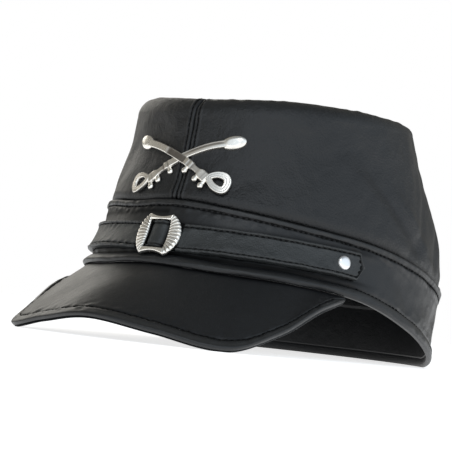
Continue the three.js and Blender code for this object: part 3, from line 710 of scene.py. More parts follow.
def make_band():
    share = np.linspace(0, 1, 60)[None, :]
    angle = RING[:, None] + 0 * share
    low = ROLL_HEIGHT - 0.6
    slant = band_slant(angle)
    edge_rows = 1 - (1 - share) ** 1.4
    up = low + (slant - low) * edge_rows
    front, normal = band_surface(angle, up)
    back = band_point(angle, up, -BAND_LEATHER) + normal * rounded(slant - up, 0.9)[..., None]
    from_top = slant - up
    over_strap = up - strap_level(angle) - STRAP_WIDTH / 2
    under_strap = STRAP_WIDTH / 2 - strap_level(angle) + up
    shadow = 0.5 * bump(over_strap, 0.4, 1.6) + 0.85 * smooth(2.5, -1.5, up - ROLL_HEIGHT - 1)
    shadow = shadow + 0.6 * bump(under_strap, -0.6, 1.2)
    far, near = SHADE_PAST_RIVET
    near_strap = smooth(RIVET_ANGLE + far, RIVET_ANGLE + near, from_front(angle))
    # Paler worn top edge, and painted shade along the hem's stitch row, beside the strap and in the gap above
    # the welt
    wear_and_painted_light = 0.4 * bump(from_top, 1.6, 0.9) - 0.6 * bump(from_top, HEM_STITCH, 0.7)
    wear_and_painted_light = wear_and_painted_light - shadow * near_strap - 0.6 * bump(up, ROLL_HEIGHT, 0.5)
    wear_and_painted_light = np.maximum(wear_and_painted_light, -0.9)
    through_sections("band_skin", front, back, True, smooth_skin, ("band",), wear_and_painted_light)


def roll_profile(count):
    """The welt's section: how far up it and how far out, going round from the inside of its foot."""
    turn = np.linspace(-0.5 * math.pi, 0.5 * math.pi, count)
    up = 0.5 + 0.5 * np.sin(turn)
    return up * ROLL_HEIGHT, np.cos(turn) ** 0.75 * ROLL_BULGE


def front_part(angle):
    """1 over the visor, 0 behind the temples."""
    return smooth(78, 48, from_front(angle))


def roll_surface(angle, up, out):
    point = band_point(angle, up, out)
    share = up / ROLL_HEIGHT
    soft = 0.3 * ripple(point, 26, seed=15) + 0.12 * ripple(point, 8, seed=16)
    soft = soft * np.sin(np.pi * np.clip(share, 0, 1))
    fullness = 1.1 * front_part(angle) * bump(share, 0.5, 0.34)
    return point + out_direction(angle) * (soft + fullness)[..., None]


def make_rim_roll():
    up, out = roll_profile(30)
    front = roll_surface(RING[:, None], up[None, :], out[None, :])
    inner = (ROLL_BULGE - ROLL_DEPTH) * np.cos(np.linspace(-0.5, 0.5, 30) * math.pi) ** 0.2
    back = band_point(RING[:, None], up[None, :], inner[None, :])
    front[..., 2] = np.maximum(front[..., 2], 0)
    # A painted highlight along the welt, a little above its middle
    wear_and_painted_light = 0.3 * bump(up, 0.62 * ROLL_HEIGHT, 1.4)
    through_sections("rim_roll_skin", front, back, True, smooth_skin, ("rim_roll",), wear_and_painted_light)


def visor_value(column, angle):
    """A column of the visor's sections, run smoothly through them from the middle to the corner."""
    at = np.array([row["at"] for row in VISOR_SECTIONS])
    values = np.array([row[column] for row in VISOR_SECTIONS], float)
    slopes = np.gradient(values, at)
    last = len(at) - 1
    for k in range(1, last):
        slopes[k] = (values[k + 1] - values[k - 1]) / (at[k + 1] - at[k - 1])
    slopes[0] = values[1] / at[1] if column == "aim" else 0
    slopes[last] = (values[last] - values[last - 1]) / (at[last] - at[last - 1])
    share = np.abs(angle) / VISOR_SPAN
    i = np.searchsorted(at[1:last], share, side="left")
    width = at[i + 1] - at[i]
    u = (share - at[i]) / width
    value = values[i] * (2 * u**3 - 3 * u**2 + 1) + slopes[i] * width * (u**3 - 2 * u**2 + u)
    value = value + values[i + 1] * (3 * u**2 - 2 * u**3) + slopes[i + 1] * width * (u**3 - u**2)
    return value * np.sign(angle) if column == "aim" else value


def visor_face(edge_rise):
    """The visor's upper face: 0 is its edge, 1 meets the welt's outer side and 2 ends under the welt."""

    def face(angle, s):
        angle, s = np.broadcast_arrays(np.asarray(angle, float), np.asarray(s, float))
        rim = band_point(angle, 0)
        rim[..., 2] -= CLEARANCE
        aim = np.radians(visor_value("aim", angle))
        reach = VISOR_REACH * visor_value("reach", angle)
        level = RIM_RISE * visor_value("lift", angle) + edge_rise
        edge = np.stack([rim[..., 0] + reach * np.sin(aim), rim[..., 1] - reach * np.cos(aim), level], -1)
        within = np.clip(s, 0, 1)
        point = edge + (rim - edge) * within[..., None]
        point[..., 2] += VISOR_BULGE * 4 * within * (1 - within) * visor_value("reach", angle)
        return point - out_direction(angle) * (VISOR_TUCK * np.maximum(0, s - 1))[..., None]

    return face


def settled_visor():
    """The visor's face whose underside just touches the floor."""
    depth = VISOR_UPPER_LEATHER + CLEARANCE + VISOR_LOWER_LEATHER
    angle = np.linspace(-VISOR_SPAN, VISOR_SPAN, 161)
    angle, s = np.meshgrid(angle, np.linspace(0.02, 0.4, 12), indexing="ij")
    rise = VISOR_UPPER_LEATHER + VISOR_LOWER_LEATHER
    for _ in range(6):
        face = visor_face(rise)
        rise -= (face(angle, s) - face_normal(face, angle, s, 0, 2) * depth)[..., 2].min()
    return visor_face(rise)


visor_top = settled_visor()


def visor_run(angle):
    """The length from the visor's edge to the welt."""
    return np.linalg.norm(visor_top(angle, 0.0) - visor_top(angle, 1.0), axis=-1)


def stitch_inset(run):
    """The visor's stitches run this far from its edge, and nearer to it where the visor is narrow."""
    return np.minimum(VISOR_STITCH, 0.55 * run)


def visor_grid(steps=260):
    """Angles round the visor and places up it, close together at its edge."""
    angle = np.linspace(-VISOR_SPAN, VISOR_SPAN, steps)[:, None]
    share = np.linspace(0, 1, 64)[None, :]
    s = 0.004 + (1 - 0.004) * share**1.7
    s = np.concatenate([s, [[1.5, 2.0]]], axis=1)
    return np.broadcast_arrays(angle, s)


def visor_relief(angle, s, point):
    """How far the visor's leather stands out of its plain form."""
    run = visor_run(angle)
    away = s * run
    inset = stitch_inset(run)
    padded = 0.45 * smooth(inset, inset - 2.5, away) - 0.5 * bump(away, inset, 0.6)
    pulls = 0.18 * ripple(point, 5, seed=17) * np.exp(-(((away - inset) / 4) ** 2))
    waves = 0.3 * ripple(point, 40, seed=18) * smooth(0, 10, away)
    return (padded + pulls + waves) * smooth(1.02, 0.9, s)


def visor_surface(angle, s, out=0):
    normal = face_normal(visor_top, angle, s, 0, 2)
    base = visor_top(angle, s)
    return base + normal * (visor_relief(angle, s, base) + out)[..., None], normal


def make_visor_upper():
    angle, s = visor_grid()
    front, normal = visor_surface(angle, s)
    away = s * visor_run(angle)
    nose = VISOR_UPPER_LEATHER * 0.8
    front = front - normal * rounded(away, nose)[..., None]
    back = visor_top(angle, s) - normal * (VISOR_UPPER_LEATHER - 0.5 * rounded(away, 0.9))[..., None]
    inset = stitch_inset(visor_run(angle))
    # A paler lip, partly worn and partly a painted highlight, and painted shade along the stitch row and
    # where the visor meets the welt
    wear_and_painted_light = 0.6 * bump(away, 2.4, 1.6) - 0.6 * bump(away, inset, 0.6) - 0.8 * bump(s, 1.0, 0.03)
    replaced = ("visor_upper",)
    through_sections("visor_upper_skin", front, back, False, smooth_skin, replaced, wear_and_painted_light)


def make_visor_lower():
    angle, s = visor_grid()
    inset = 0.55 * VISOR_EDGE_INSET / VISOR_REACH
    s = np.maximum(s, inset)
    normal = face_normal(visor_top, angle, s, 0, 2)
    base = visor_top(angle, s) - normal * (VISOR_UPPER_LEATHER + 0.1)
    away = (s - inset) * visor_run(angle)
    edge = rounded(away, 0.62 * VISOR_LOWER_LEATHER)[..., None]
    front = base - normal * 0.5 * edge
    back = base - normal * (VISOR_LOWER_LEATHER + CLEARANCE - 0.1 - 0.7 * edge)
    back[..., 2] = np.maximum(back[..., 2], 0)
    through_sections("visor_lower_skin", front, back, False, smooth_skin, ("visor_lower",))


def strap_level(angle):
    """The strap's middle line, as a length up the band."""
    return STRAP_RISE * around(STRAP_RISES, np.clip(angle, -90, 90), 90)


def over_band(angle, up, out):
    """A point out of the band's face, at a length up and down from the strap's middle line."""
    angle, up, out = np.broadcast_arrays(np.asarray(angle, float), up, out)
    level = strap_level(angle) + up
    return band_point(angle, level) + band_normal(angle, level) * out[..., None]


STRAP_TURNS = np.arange(0, 100.0)
STRAP_LINE = over_band(STRAP_TURNS, 0, 0)
STRAP_RUNS = np.concatenate([[0], np.cumsum(np.linalg.norm(np.diff(STRAP_LINE, axis=0), axis=1))])


def strap_angle(length):
    """The angle at a length along the strap from the front."""
    return np.sign(length) * np.interp(np.abs(length), STRAP_RUNS, STRAP_TURNS)


STRAP_HALF = np.interp(RIVET_ANGLE, STRAP_TURNS, STRAP_RUNS) + STRAP_TAIL
STRAP_OUT = CLEARANCE + STRAP_LEATHER
FRAME_OUT = STRAP_OUT + CLEARANCE
EDGE_SHARE = 1 - STRAP_STITCH / (STRAP_WIDTH / 2)  # where its stitches run, as a share of half its width


def strap_hump(length):
    """The strap bulges over the buckle's bar and fills its window."""
    share = np.minimum(1, np.abs(length) / (BUCKLE_WINDOW / 2 - CLEARANCE))
    return (FRAME_OUT - BAR_SINK + BAR_LIFT) * (1 - share**2.4) ** 0.9


def strap_leant(length, up):
    """A length along the strap, leaning at the tabs as their ends do."""
    lean = STRAP_LEAN * np.clip(1 - (STRAP_HALF - np.abs(length)) / STRAP_TAIL, 0, 1)
    return length - np.sign(length) * lean * up


def strap_width_at(length):
    """Half the strap's width, narrowing to the tabs' points."""
    return np.clip((STRAP_HALF - np.abs(length)) / STRAP_POINT, 0.1, 1) * STRAP_WIDTH / 2


def strap_surface(length, share, out=0):
    """The strap's face: share runs from -1 at its lower edge to 1 at its upper one."""
    half = strap_width_at(length)
    angle = strap_angle(strap_leant(length, share * half))
    from_edge = half * (1 - np.abs(share))
    from_edge = np.minimum(from_edge, 0.75 * (STRAP_HALF - np.abs(length)) + 0.6)
    pucker = 1 - 0.4 * np.cos(2 * math.pi * length / STITCH_PITCH)
    lip = 0.42 * smooth(STRAP_STITCH + 0.2, STRAP_STITCH - 0.8, from_edge) * pucker
    lip = lip - 0.5 * bump(from_edge, STRAP_STITCH, 0.45)
    height = CLEARANCE + strap_hump(length) + STRAP_LEATHER + lip - rounded(from_edge, 0.9)
    point = over_band(angle, share * half, height + out)
    pulls = 0.2 * ripple(point, 5, seed=19) * np.exp(-(((from_edge - STRAP_STITCH) / 3) ** 2))
    waves = 0.16 * ripple(point, 22, seed=20)
    normal = band_normal(angle, strap_level(angle) + share * half)
    free = smooth(STRAP_FINE, 30, np.abs(length)) * smooth(1, 0.8, np.abs(length) / STRAP_HALF)
    away = STRAND_OFF * free * smooth(0.6, -1, share)
    return point + normal * (pulls + waves + away)[..., None], normal, from_edge


def make_strap():
    near = np.linspace(0, STRAP_FINE, 36)
    far = np.linspace(STRAP_FINE, STRAP_HALF - STRAP_POINT, 90)[1:]
    tip = np.linspace(STRAP_HALF - STRAP_POINT, STRAP_HALF, 12)[1:]
    half = np.concatenate([near, far, tip])
    lengths = np.concatenate([-half[:0:-1], half])[:, None]
    share = np.sin(np.linspace(-0.5, 0.5, 56) * math.pi)[None, :]
    share = 0.45 * share + 0.55 * np.linspace(-1, 1, 56)[None, :]
    lengths, share = np.broadcast_arrays(lengths, share)
    front, normal, from_edge = strap_surface(lengths, share)
    ups = share * strap_width_at(lengths)
    under = over_band(strap_angle(strap_leant(lengths, ups)), ups, CLEARANCE + strap_hump(lengths))
    back = under + normal * (0.8 * rounded(from_edge, 0.9))[..., None]
    # Paler worn edges, and painted shade along the stitch rows, in the buckle's window and along the strap's
    # edges under the frame
    wear_and_painted_light = 0.45 * bump(from_edge, 0.9, 0.5) - 0.6 * bump(from_edge, STRAP_STITCH, 0.5)
    in_buckle = np.abs(lengths) < BUCKLE_WIDTH / 2
    window_shade = 0.85 * smooth(*WINDOW_SHADE, np.abs(lengths)) + 0.8 * bump(from_edge, 0, 1.3)
    wear_and_painted_light = np.maximum(wear_and_painted_light - in_buckle * window_shade, -0.9)
    through_sections("strap_skin", front, back, False, strap_skin, ("strap",), wear_and_painted_light)


def frame_outline(sides, ends):
    """The buckle's frame: points of its outline, those across at its window, and places up its sides."""
    half_width = BUCKLE_WIDTH / 2
    half_height = BUCKLE_HEIGHT / 2
    corner = BUCKLE_WIDTH * BUCKLE_CORNER
    hollow = BUCKLE_HEIGHT * BUCKLE_DIP
    window_x = BUCKLE_WINDOW / 2
    window_y = STRAP_WIDTH / 2 + CLEARANCE
    side_height = half_height / math.sqrt(1 - (corner / half_width) ** 2)
    corner_turn = math.acos(corner / half_width)
    outer, inner, flute = [], [], []
    for side in (1, -1):
        for i in range(sides):
            u = i / sides
            turn = corner_turn * (2 * u - 1)
            outer.append((side * half_width * math.cos(turn), side * side_height * math.sin(turn)))
            inner.append((side * window_x, side * window_y * (2 * u - 1)))
            flute.append(u)
        for i in range(ends):
            x = 1 - 2 * i / ends
            outer.append((side * corner * x, side * (half_height - hollow * (1 - x * x))))
            inner.append((side * window_x * x, side * window_y))
            flute.append(0)
    return np.array(outer), np.array(inner), np.array(flute)


def make_buckle():
    outer, inner, flute = frame_outline(GROOVES * 14, 30)
    rows = np.linspace(0, 1, 15)  # from the outline to the window
    rise = np.interp(rows, [0, 0.05, 0.2, 0.7, 0.92, 1], [0.45, 0.74, 0.92, 1.0, 0.86, 0.5]) * BUCKLE_LIFT
    from_groove = np.abs((flute * GROOVES + 0.5) % 1 - 0.5)
    ridge = 1 - np.exp(-((from_groove / 0.15) ** 2))[:, None]
    on_side = (flute > 0)[:, None]
    depth = BUCKLE_FLUTING * 1.35 * smooth(-0.02, 0.1, rows) * smooth(0.94, 0.8, rows)
    height = rise[None, :] + np.where(on_side, (ridge - 0.9) * depth[None, :], 0)
    share = rows[None, :, None]
    flat = outer[:, None, :] * (1 - share) + inner[:, None, :] * share
    angle = strap_angle(flat[..., 0] - BUCKLE_LEAN * flat[..., 1])
    front = over_band(angle, flat[..., 1], FRAME_OUT + height)
    back = over_band(angle, flat[..., 1], FRAME_OUT + 0 * height)
    hollow = np.where(on_side, (1 - ridge) * (depth / depth.max())[None, :], 0) * 0.65
    make_bar()
    through_sections("buckle_frame", front, back, True, nickel, ("buckle",), hollow)


def make_bar():
    """The bar that the strap runs over, with its ends in the frame."""
    inner = STRAP_WIDTH / 2 + CLEARANCE
    y = np.array([-inner - BAR_LIFT, -inner, *np.linspace(-inner, inner, 9), inner, inner + BAR_LIFT])
    top = np.full(len(y), BAR_LIFT - BAR_SINK)
    top[[0, 1, -2, -1]] = BUCKLE_LIFT / 4
    x = np.array([-BAR_WIDTH / 2, BAR_WIDTH / 2])[:, None]
    angle = strap_angle(x - BUCKLE_LEAN * y[None, :])
    front = over_band(angle, y[None, :], FRAME_OUT + top[None, :])
    back = over_band(angle, y[None, :], FRAME_OUT - BAR_SINK + 0 * top[None, :])
    through_sections("buckle_bar", front, back, False, nickel)


# The crown's lengths round from the front at each place up it, for laying the badge on it
WRAP_TURNS = np.arange(-60.0, 61.0)
WRAP_PLACES = np.linspace(0, 1, 41)


def wrap_table():
    """Lengths round the crown from the front, a row for each angle and a column for each place up."""
    angle, s = np.meshgrid(WRAP_TURNS, WRAP_PLACES, indexing="ij")
    steps = np.linalg.norm(np.diff(crown_point(angle, s), axis=0), axis=-1)
    runs = np.concatenate([np.zeros((1, len(WRAP_PLACES))), np.cumsum(steps, axis=0)])
    return runs - runs[len(WRAP_TURNS) // 2]


WRAP_RUNS = wrap_table()
CROWN_FRONT_RISE = float(np.linalg.norm(crown_point(0, 1) - crown_point(0, 0)))


def over_crown(x, y, out):
    """A point out of the crown's front, x and y from the badge's middle."""
    x, y, out = (np.asarray(v, float) for v in np.broadcast_arrays(x, y, out))
    turn = math.radians(BADGE_TURN)
    x, y = x * math.cos(turn) - y * math.sin(turn), x * math.sin(turn) + y * math.cos(turn)
    s = (BADGE_LEVEL + y) / CROWN_FRONT_RISE
    place = np.clip(s, 0, 1) * (len(WRAP_PLACES) - 1)
    column = np.clip(np.floor(place).astype(int), 0, len(WRAP_PLACES) - 2)
    angle = np.zeros(x.shape)
    for k in np.unique(column):
        here = column == k
        low = np.interp(BADGE_ASIDE + x[here], WRAP_RUNS[:, k], WRAP_TURNS)
        high = np.interp(BADGE_ASIDE + x[here], WRAP_RUNS[:, k + 1], WRAP_TURNS)
        angle[here] = low + (high - low) * (place[here] - k)
    return crown_point(angle, s) + face_normal(crown_point, angle, s, 0, 1) * out[..., None]


# One sheathed sabre, its tip up to the left, as shares of the badge's half width and half height
SABRE_LINE = [(-0.82, 0.76), (-0.47, 0.6), (-0.12, 0.29), (0.2, -0.08), (0.53, -0.54)]
GUARD_LOOP = [(0.55, -0.5), (0.68, -0.35), (0.83, -0.4), (0.885, -0.63), (0.83, -0.9), (0.66, -0.8)]
LUGS = [(0.14, -0.3), (0.345, -0.57), (0.465, -0.78)]
COLLARS = [0.725, 0.775]  # bands across the sheath, as shares of its length
GRIP_LINES = [0.94, 0.98]  # dark lines across the grip, as shares of the same length
LOOP_HALVES = {1: 0.78, -1: 0.58}  # half the guard's width on each side, as a share of half the blade's


def smooth_path(points, count, closed=False):
    """Points along a smooth curve through a few points."""
    points = np.array(points, float)
    before, after = (points[-1:], points[:2]) if closed else (points[:1], points[-1:])
    whole = np.concatenate([before, points, after])
    spans = len(points) if closed else len(points) - 1
    place = np.linspace(0, spans, count, endpoint=not closed)
    start = np.minimum(place.astype(int), spans - 1)
    u = (place - start)[:, None]
    a, b, c, d = (whole[start + k] for k in range(4))
    return 0.5 * (2 * b + (c - a) * u + (2 * a - 5 * b + 4 * c - d) * u**2 + (3 * b - a - 3 * c + d) * u**3)


def badge_points(side, rows):
    """Points of the badge in millimetres. The sabre with its tip up to the right is the mirrored one."""
    return [(side * x * BADGE_WIDTH / 2, y * BADGE_HEIGHT / 2) for x, y in rows]


def ribbon(path, half, foot, heights, closed=False):
    """Front and back rows of a flat bar along a path: heights are given across it, from side to side."""
    tangent = np.roll(path, -1, 0) - np.roll(path, 1, 0) if closed else np.gradient(path, axis=0)
    tangent /= np.linalg.norm(tangent, axis=1, keepdims=True)
    across = np.stack([-tangent[:, 1], tangent[:, 0]], -1)
    share = np.linspace(-1, 1, heights.shape[1])[None, :, None]
    flat = path[:, None, :] + across[:, None, :] * share * half[:, None, None]
    front = over_crown(flat[..., 0], flat[..., 1], foot + heights)
    back = over_crown(flat[..., 0], flat[..., 1], foot + 0 * heights)
    return front, back


def knob_piece(x, y, wide, tall, turn, foot, lift, rings=9, sides=32):
    """Points and quads of a domed oval with an engraved line round it."""
    radius = np.linspace(0, 1, rings + 1)[1:]
    angle = np.linspace(0, 2 * math.pi, sides, endpoint=False)
    u = radius[:, None] * np.cos(angle) * wide
    v = radius[:, None] * np.sin(angle) * tall
    rise = (1 - 0.75 * radius**4) * 0.95 - 0.07 * bump(radius, 0.7, 0.07)
    px = x + u * math.cos(turn) - v * math.sin(turn)
    py = y + u * math.sin(turn) + v * math.cos(turn)
    top = over_crown(px, py, foot + lift * rise[:, None] + 0 * px)
    rim = over_crown(px[-1:], py[-1:], foot + 0 * px[-1:])
    pole = over_crown(x, y, foot + lift)[None]
    base = over_crown(x, y, foot)[None]
    points = np.concatenate([pole, top.reshape(-1, 3), rim.reshape(-1, 3), base])
    faces = []
    for i in range(sides):
        k = (i + 1) % sides
        faces.append([0, 1 + i, 1 + k])
        for ring in range(rings):
            a, b = 1 + ring * sides, 1 + (ring + 1) * sides
            faces.append([a + i, b + i, b + k, a + k])
        last = 1 + rings * sides
        faces.append([last + i, len(points) - 1, last + k])
    wear_and_painted_light = np.zeros(len(points))
    wear_and_painted_light[1 : 1 + rings * sides] = np.repeat(0.25 * bump(radius, 0.7, 0.08), sides)
    return points, faces, wear_and_painted_light


def sheath_piece(side, foot, path):
    """A sabre's sheath and grip, with its bevels, facet, collars and dark lines."""
    along = np.linspace(0, 1, len(path))
    across = np.linspace(-1, 1, 19)
    sheath = (along < COLLARS[0])[:, None]
    bevel = smooth(1.02, 0.78, np.abs(across))[None, :]
    if side > 0:
        span = smooth(0.38, 0.43, along) * smooth(0.7, 0.66, along)
        facet = span[:, None] * smooth(0.95, 0.7, np.abs(across))
        hatching = facet * (0.5 + 0.5 * np.cos(along * 260)[:, None])
    else:
        span = smooth(0.04, 0.16, along) * smooth(0.62, 0.45, along)
        facet = span[:, None] * bump(across, -0.45, 0.4)
        hatching = 0 * facet
    waist = smooth(0.785, 0.81, along) * smooth(0.89, 0.86, along)
    heights = BADGE_LIFT * (0.35 + 0.65 * bevel - 0.3 * facet - 0.1 * hatching - 0.12 * waist[:, None])
    dark = 0.9 * facet + 0.3 * hatching + 0.4 * waist[:, None] * bevel + 0.06 * sheath
    for collar in COLLARS:
        heights = heights + 0.3 * bump(along, collar, 0.012)[:, None] * bevel
        dark = dark + 0.8 * bump(along, collar + 0.022, 0.012)[:, None] * bevel
    for line in GRIP_LINES:
        dark = dark + 0.5 * bump(along, line, 0.012)[:, None]
    widened = 0.34 * smooth(0.86, 0.92, along) + 0.1 * bump(along, 0.75, 0.03)
    half = BADGE_BLADE / 2 * (1 - 0.26 * waist + widened)
    return section_lists(*ribbon(path, half, foot, heights), False, np.clip(dark, 0, 1))


def guard_piece(side, foot):
    """A sabre's guard: a flat loop with engraved lines."""
    loop = smooth_path(badge_points(side, GUARD_LOOP), 72, closed=True)
    loop = loop.mean(0) + LOOP_DRAWN_IN * (loop - loop.mean(0))
    if side < 0:
        loop = loop[::-1]
    turn = np.linspace(0, 1, len(loop), endpoint=False)
    across = np.linspace(-1, 1, 19)
    half = BADGE_BLADE / 2 * (LOOP_HALVES[side] + 0.2 * np.sin(math.pi * turn) ** 2)
    lines = 0.02 * (np.cos(across * 3.2 * math.pi) < -0.2) + 0 * turn[:, None]
    heights = BADGE_LIFT * (0.4 + 0.6 * smooth(1.02, 0.84, np.abs(across)) - lines)
    return section_lists(*ribbon(loop, half, foot, heights, True), True, 3 * lines)


def lug_pieces(side, foot, path):
    """The ring lugs under a sabre, each a stem and a round end."""
    pieces = []
    size = BADGE_BLADE * 0.4
    heights = BADGE_LIFT * 0.8 * np.array([[0.4, 0.9, 1, 0.9, 0.4]]) + np.zeros((5, 1))
    for x, y in badge_points(side, LUGS):
        root = path[np.argmin(np.hypot(path[:, 0] - x, path[:, 1] - y))]
        stem = ribbon(np.linspace(root, (x, y), 5), np.full(5, BADGE_BLADE * 0.28), foot, heights)
        pieces.append(section_lists(*stem, False))
        pieces.append(knob_piece(x, y, size, size, 0, foot, BADGE_LIFT * 0.9, rings=5, sides=16))
    return pieces


def sabre_pieces(side, foot):
    """The points, faces and wear of one sabre's sheath, guard, tip and lugs."""
    path = smooth_path(badge_points(side, SABRE_LINE), 90)
    (x, y), (run, rise) = path[0], path[3] - path[0]
    wide, tall, lift = BADGE_BLADE * 1.6, BADGE_BLADE * 0.88, BADGE_LIFT * 1.25
    tip = knob_piece(x, y, wide, tall, math.atan2(rise, run), foot, lift)
    return [sheath_piece(side, foot, path), guard_piece(side, foot), tip, *lug_pieces(side, foot, path)]


def make_badge():
    pieces = sabre_pieces(-1, CLEARANCE) + sabre_pieces(1, CLEARANCE + BADGE_STEP)
    faces, offset = [], 0
    for points, part_faces, _ in pieces:
        faces.extend([offset + v for v in face] for face in part_faces)
        offset += len(points)
    points = np.concatenate([piece[0] for piece in pieces])
    wear_and_painted_light = np.concatenate([piece[2] for piece in pieces])
    make_object("badge_sabres", points, faces, nickel, ("badge",), wear_and_painted_light)


def turned_lists(profile, base, normal, sides=48):
    """A round solid from its profile of radius and height, standing on a base point along a direction."""
    up = np.array([0, 0, 1.0])
    across = np.cross(up, normal)
    across /= np.linalg.norm(across)
    other = np.cross(normal, across)
    angle = np.linspace(0, 2 * math.pi, sides, endpoint=False)
    points = [base + normal * profile[0][1]]
    for radius, height in profile[1:-1]:
        ring = np.cos(angle)[:, None] * across + np.sin(angle)[:, None] * other
        points.extend(base + normal * height + ring * radius)
    points.append(base + normal * profile[-1][1])
    faces = []
    rings = len(profile) - 2
    for i in range(sides):
        k = (i + 1) % sides
        faces.append([0, 1 + k, 1 + i])
        for ring in range(rings - 1):
            a = 1 + ring * sides
            faces.append([a + i, a + k, a + sides + k, a + sides + i])
        a = 1 + (rings - 1) * sides
        faces.append([a + i, a + k, len(points) - 1])
    return np.array(points), faces


def make_rivet(side):
    angle = side * RIVET_ANGLE
    base = over_band(angle, 0, 0)
    normal = over_band(angle, 0, 1) - base
    seat = STRAP_OUT + 0.05
    inside = -(BAND_LEATHER + CLEARANCE)
    turn = np.linspace(0, 0.5 * math.pi, 12)
    head, foot, shank = RIVET_HEAD / 2, RIVET_FOOT / 2, RIVET_SHANK / 2
    edge = 0.25  # the head's upright edge
    dome = [(head * math.cos(t) ** 0.6, seat + edge + (RIVET_RISE - edge) * math.sin(t)) for t in turn[:-1]]
    profile = [(0, inside - RIVET_FOOT_DEPTH), (foot, inside - RIVET_FOOT_DEPTH), (foot, inside)]
    profile += [(shank, inside), (shank, seat), (head, seat), *dome, (0, seat + RIVET_RISE)]
    points, faces = turned_lists(profile, base, normal)
    name = "rivet_left" if side > 0 else "rivet_right"
    make_object(name + "_dome", points, faces, chrome, (name,), np.zeros(len(points)))


STITCH_SIZES = {
    "Pitch": STITCH_PITCH * MM,
    "Length": STITCH_LENGTH * MM,
    "Thread": STITCH_THREAD * MM,
    "Unevenness": STITCH_UNEVENNESS,
}


def stitch_tree():
    """A Geometry Nodes tree that sews even stitches along a mesh's edges, flat on its 'out' direction."""
    tree = bpy.data.node_groups.new("sewn_line", "GeometryNodeTree")
    tree.interface.new_socket("Geometry", in_out="INPUT", socket_type="NodeSocketGeometry")
    for name, value in STITCH_SIZES.items():
        socket = tree.interface.new_socket(name, in_out="INPUT", socket_type="NodeSocketFloat")
        socket.default_value = value
    tree.interface.new_socket("Seed", in_out="INPUT", socket_type="NodeSocketInt")
    tree.interface.new_socket("Finish", in_out="INPUT", socket_type="NodeSocketMaterial")
    tree.interface.new_socket("Geometry", in_out="OUTPUT", socket_type="NodeSocketGeometry")
    given = tree.nodes.new("NodeGroupInput").outputs
    result = tree.nodes.new("NodeGroupOutput")

    def node(kind, settings=None, inputs=None):
        """The first output of a new node, from its settings and the values and links of its sockets."""
        made = tree.nodes.new(kind)
        for name, value in (settings or {}).items():
            setattr(made, name, value)
        for name, value in (inputs or {}).items():
            if isinstance(value, bpy.types.NodeSocket):
                tree.links.new(value, made.inputs[name])
            else:
                made.inputs[name].default_value = value
        return made.outputs[0]

    curve = node("GeometryNodeMeshToCurve", None, {"Mesh": given["Geometry"]})
    even = node("GeometryNodeResampleCurve", {"mode": "LENGTH"}, {"Curve": curve, "Length": given["Pitch"]})
    out = node("GeometryNodeInputNamedAttribute", {"data_type": "FLOAT_VECTOR"}, {"Name": "out"})
    tangent = node("GeometryNodeInputTangent")
    axes = {"primary_axis": "Z", "secondary_axis": "X"}
    aimed = node("FunctionNodeAxesToRotation", axes, {"Primary Axis": out, "Secondary Axis": tangent})
    spread = node("ShaderNodeCombineXYZ", None, {"Z": given["Unevenness"]})
    back = node("ShaderNodeVectorMath", {"operation": "SCALE"}, {0: spread, "Scale": -1.0})
    limits = {"Min": back, "Max": spread, "Seed": given["Seed"]}
    twist = node("FunctionNodeRandomValue", {"data_type": "FLOAT_VECTOR"}, limits)
    own_axes = {"rotation_space": "LOCAL"}
    turned = node("FunctionNodeRotateRotation", own_axes, {"Rotation": aimed, "Rotate By": twist})
    ball = node("GeometryNodeMeshUVSphere", None, {"Segments": 8, "Rings": 5, "Radius": 0.5})
    lengths = {"X": given["Length"], "Y": given["Thread"], "Z": given["Thread"]}
    size = node("ShaderNodeCombineXYZ", None, lengths)
    shape = node("GeometryNodeTransform", None, {"Geometry": ball, "Scale": size})
    stitches = {"Points": even, "Instance": shape, "Rotation": turned}
    placed = node("GeometryNodeInstanceOnPoints", None, stitches)
    real = node("GeometryNodeRealizeInstances", None, {"Geometry": placed})
    finished = node("GeometryNodeSetMaterial", None, {"Geometry": real, "Material": given["Finish"]})
    tree.links.new(finished, result.inputs[0])
    return tree


SEWN_LINE = stitch_tree()


def sew(name, lines, seed):
    """Stitches along lines, each a row of points and a row of directions out of the leather."""
    points = np.concatenate([line[0] for line in lines])
    out = np.concatenate([line[1] for line in lines])
    edges, offset = [], 0
    for line_points, _ in lines:
        edges.extend((offset + i, offset + i + 1) for i in range(len(line_points) - 1))
        offset += len(line_points)
    mesh = bpy.data.meshes.new(name)
    mesh.from_pydata(to_frame(points).tolist(), edges, [])
    layer = mesh.attributes.new("out", "FLOAT_VECTOR", "POINT")
    layer.data.foreach_set("vector", np.asarray(out, np.float32).ravel())
    path = put_in_scene(name + "_path", mesh)
    modifier = path.modifiers.new("sewing", "NODES")
    modifier.node_group = SEWN_LINE
    values = {**STITCH_SIZES, "Seed": seed, "Finish": thread}
    for socket in SEWN_LINE.interface.items_tree:
        if socket.in_out == "INPUT" and socket.name in values:
            modifier[socket.identifier] = values[socket.name]
    sewn = bpy.data.meshes.new_from_object(path.evaluated_get(bpy.context.evaluated_depsgraph_get()))
    bpy.data.objects.remove(path)
    sewn.name = name
    finish_piece(name, sewn)


def seam_line(side, middle):
    """A stitch row beside the crown's front (0) or back (180) seam."""
    s = np.linspace(0.015, 1.85, 110)
    angle = np.full(len(s), middle + 0.5 * side)
    beside = SEAM_HALF * side if middle == 0 else -SEAM_HALF * side
    step = 0.1
    for _ in range(8):
        x = crown_point(angle, s)[:, 0]
        gain = crown_point(angle + step, s)[:, 0] - x
        angle = angle + step * (beside - x) / gain
    return crown_surface(angle, s, 0.06)


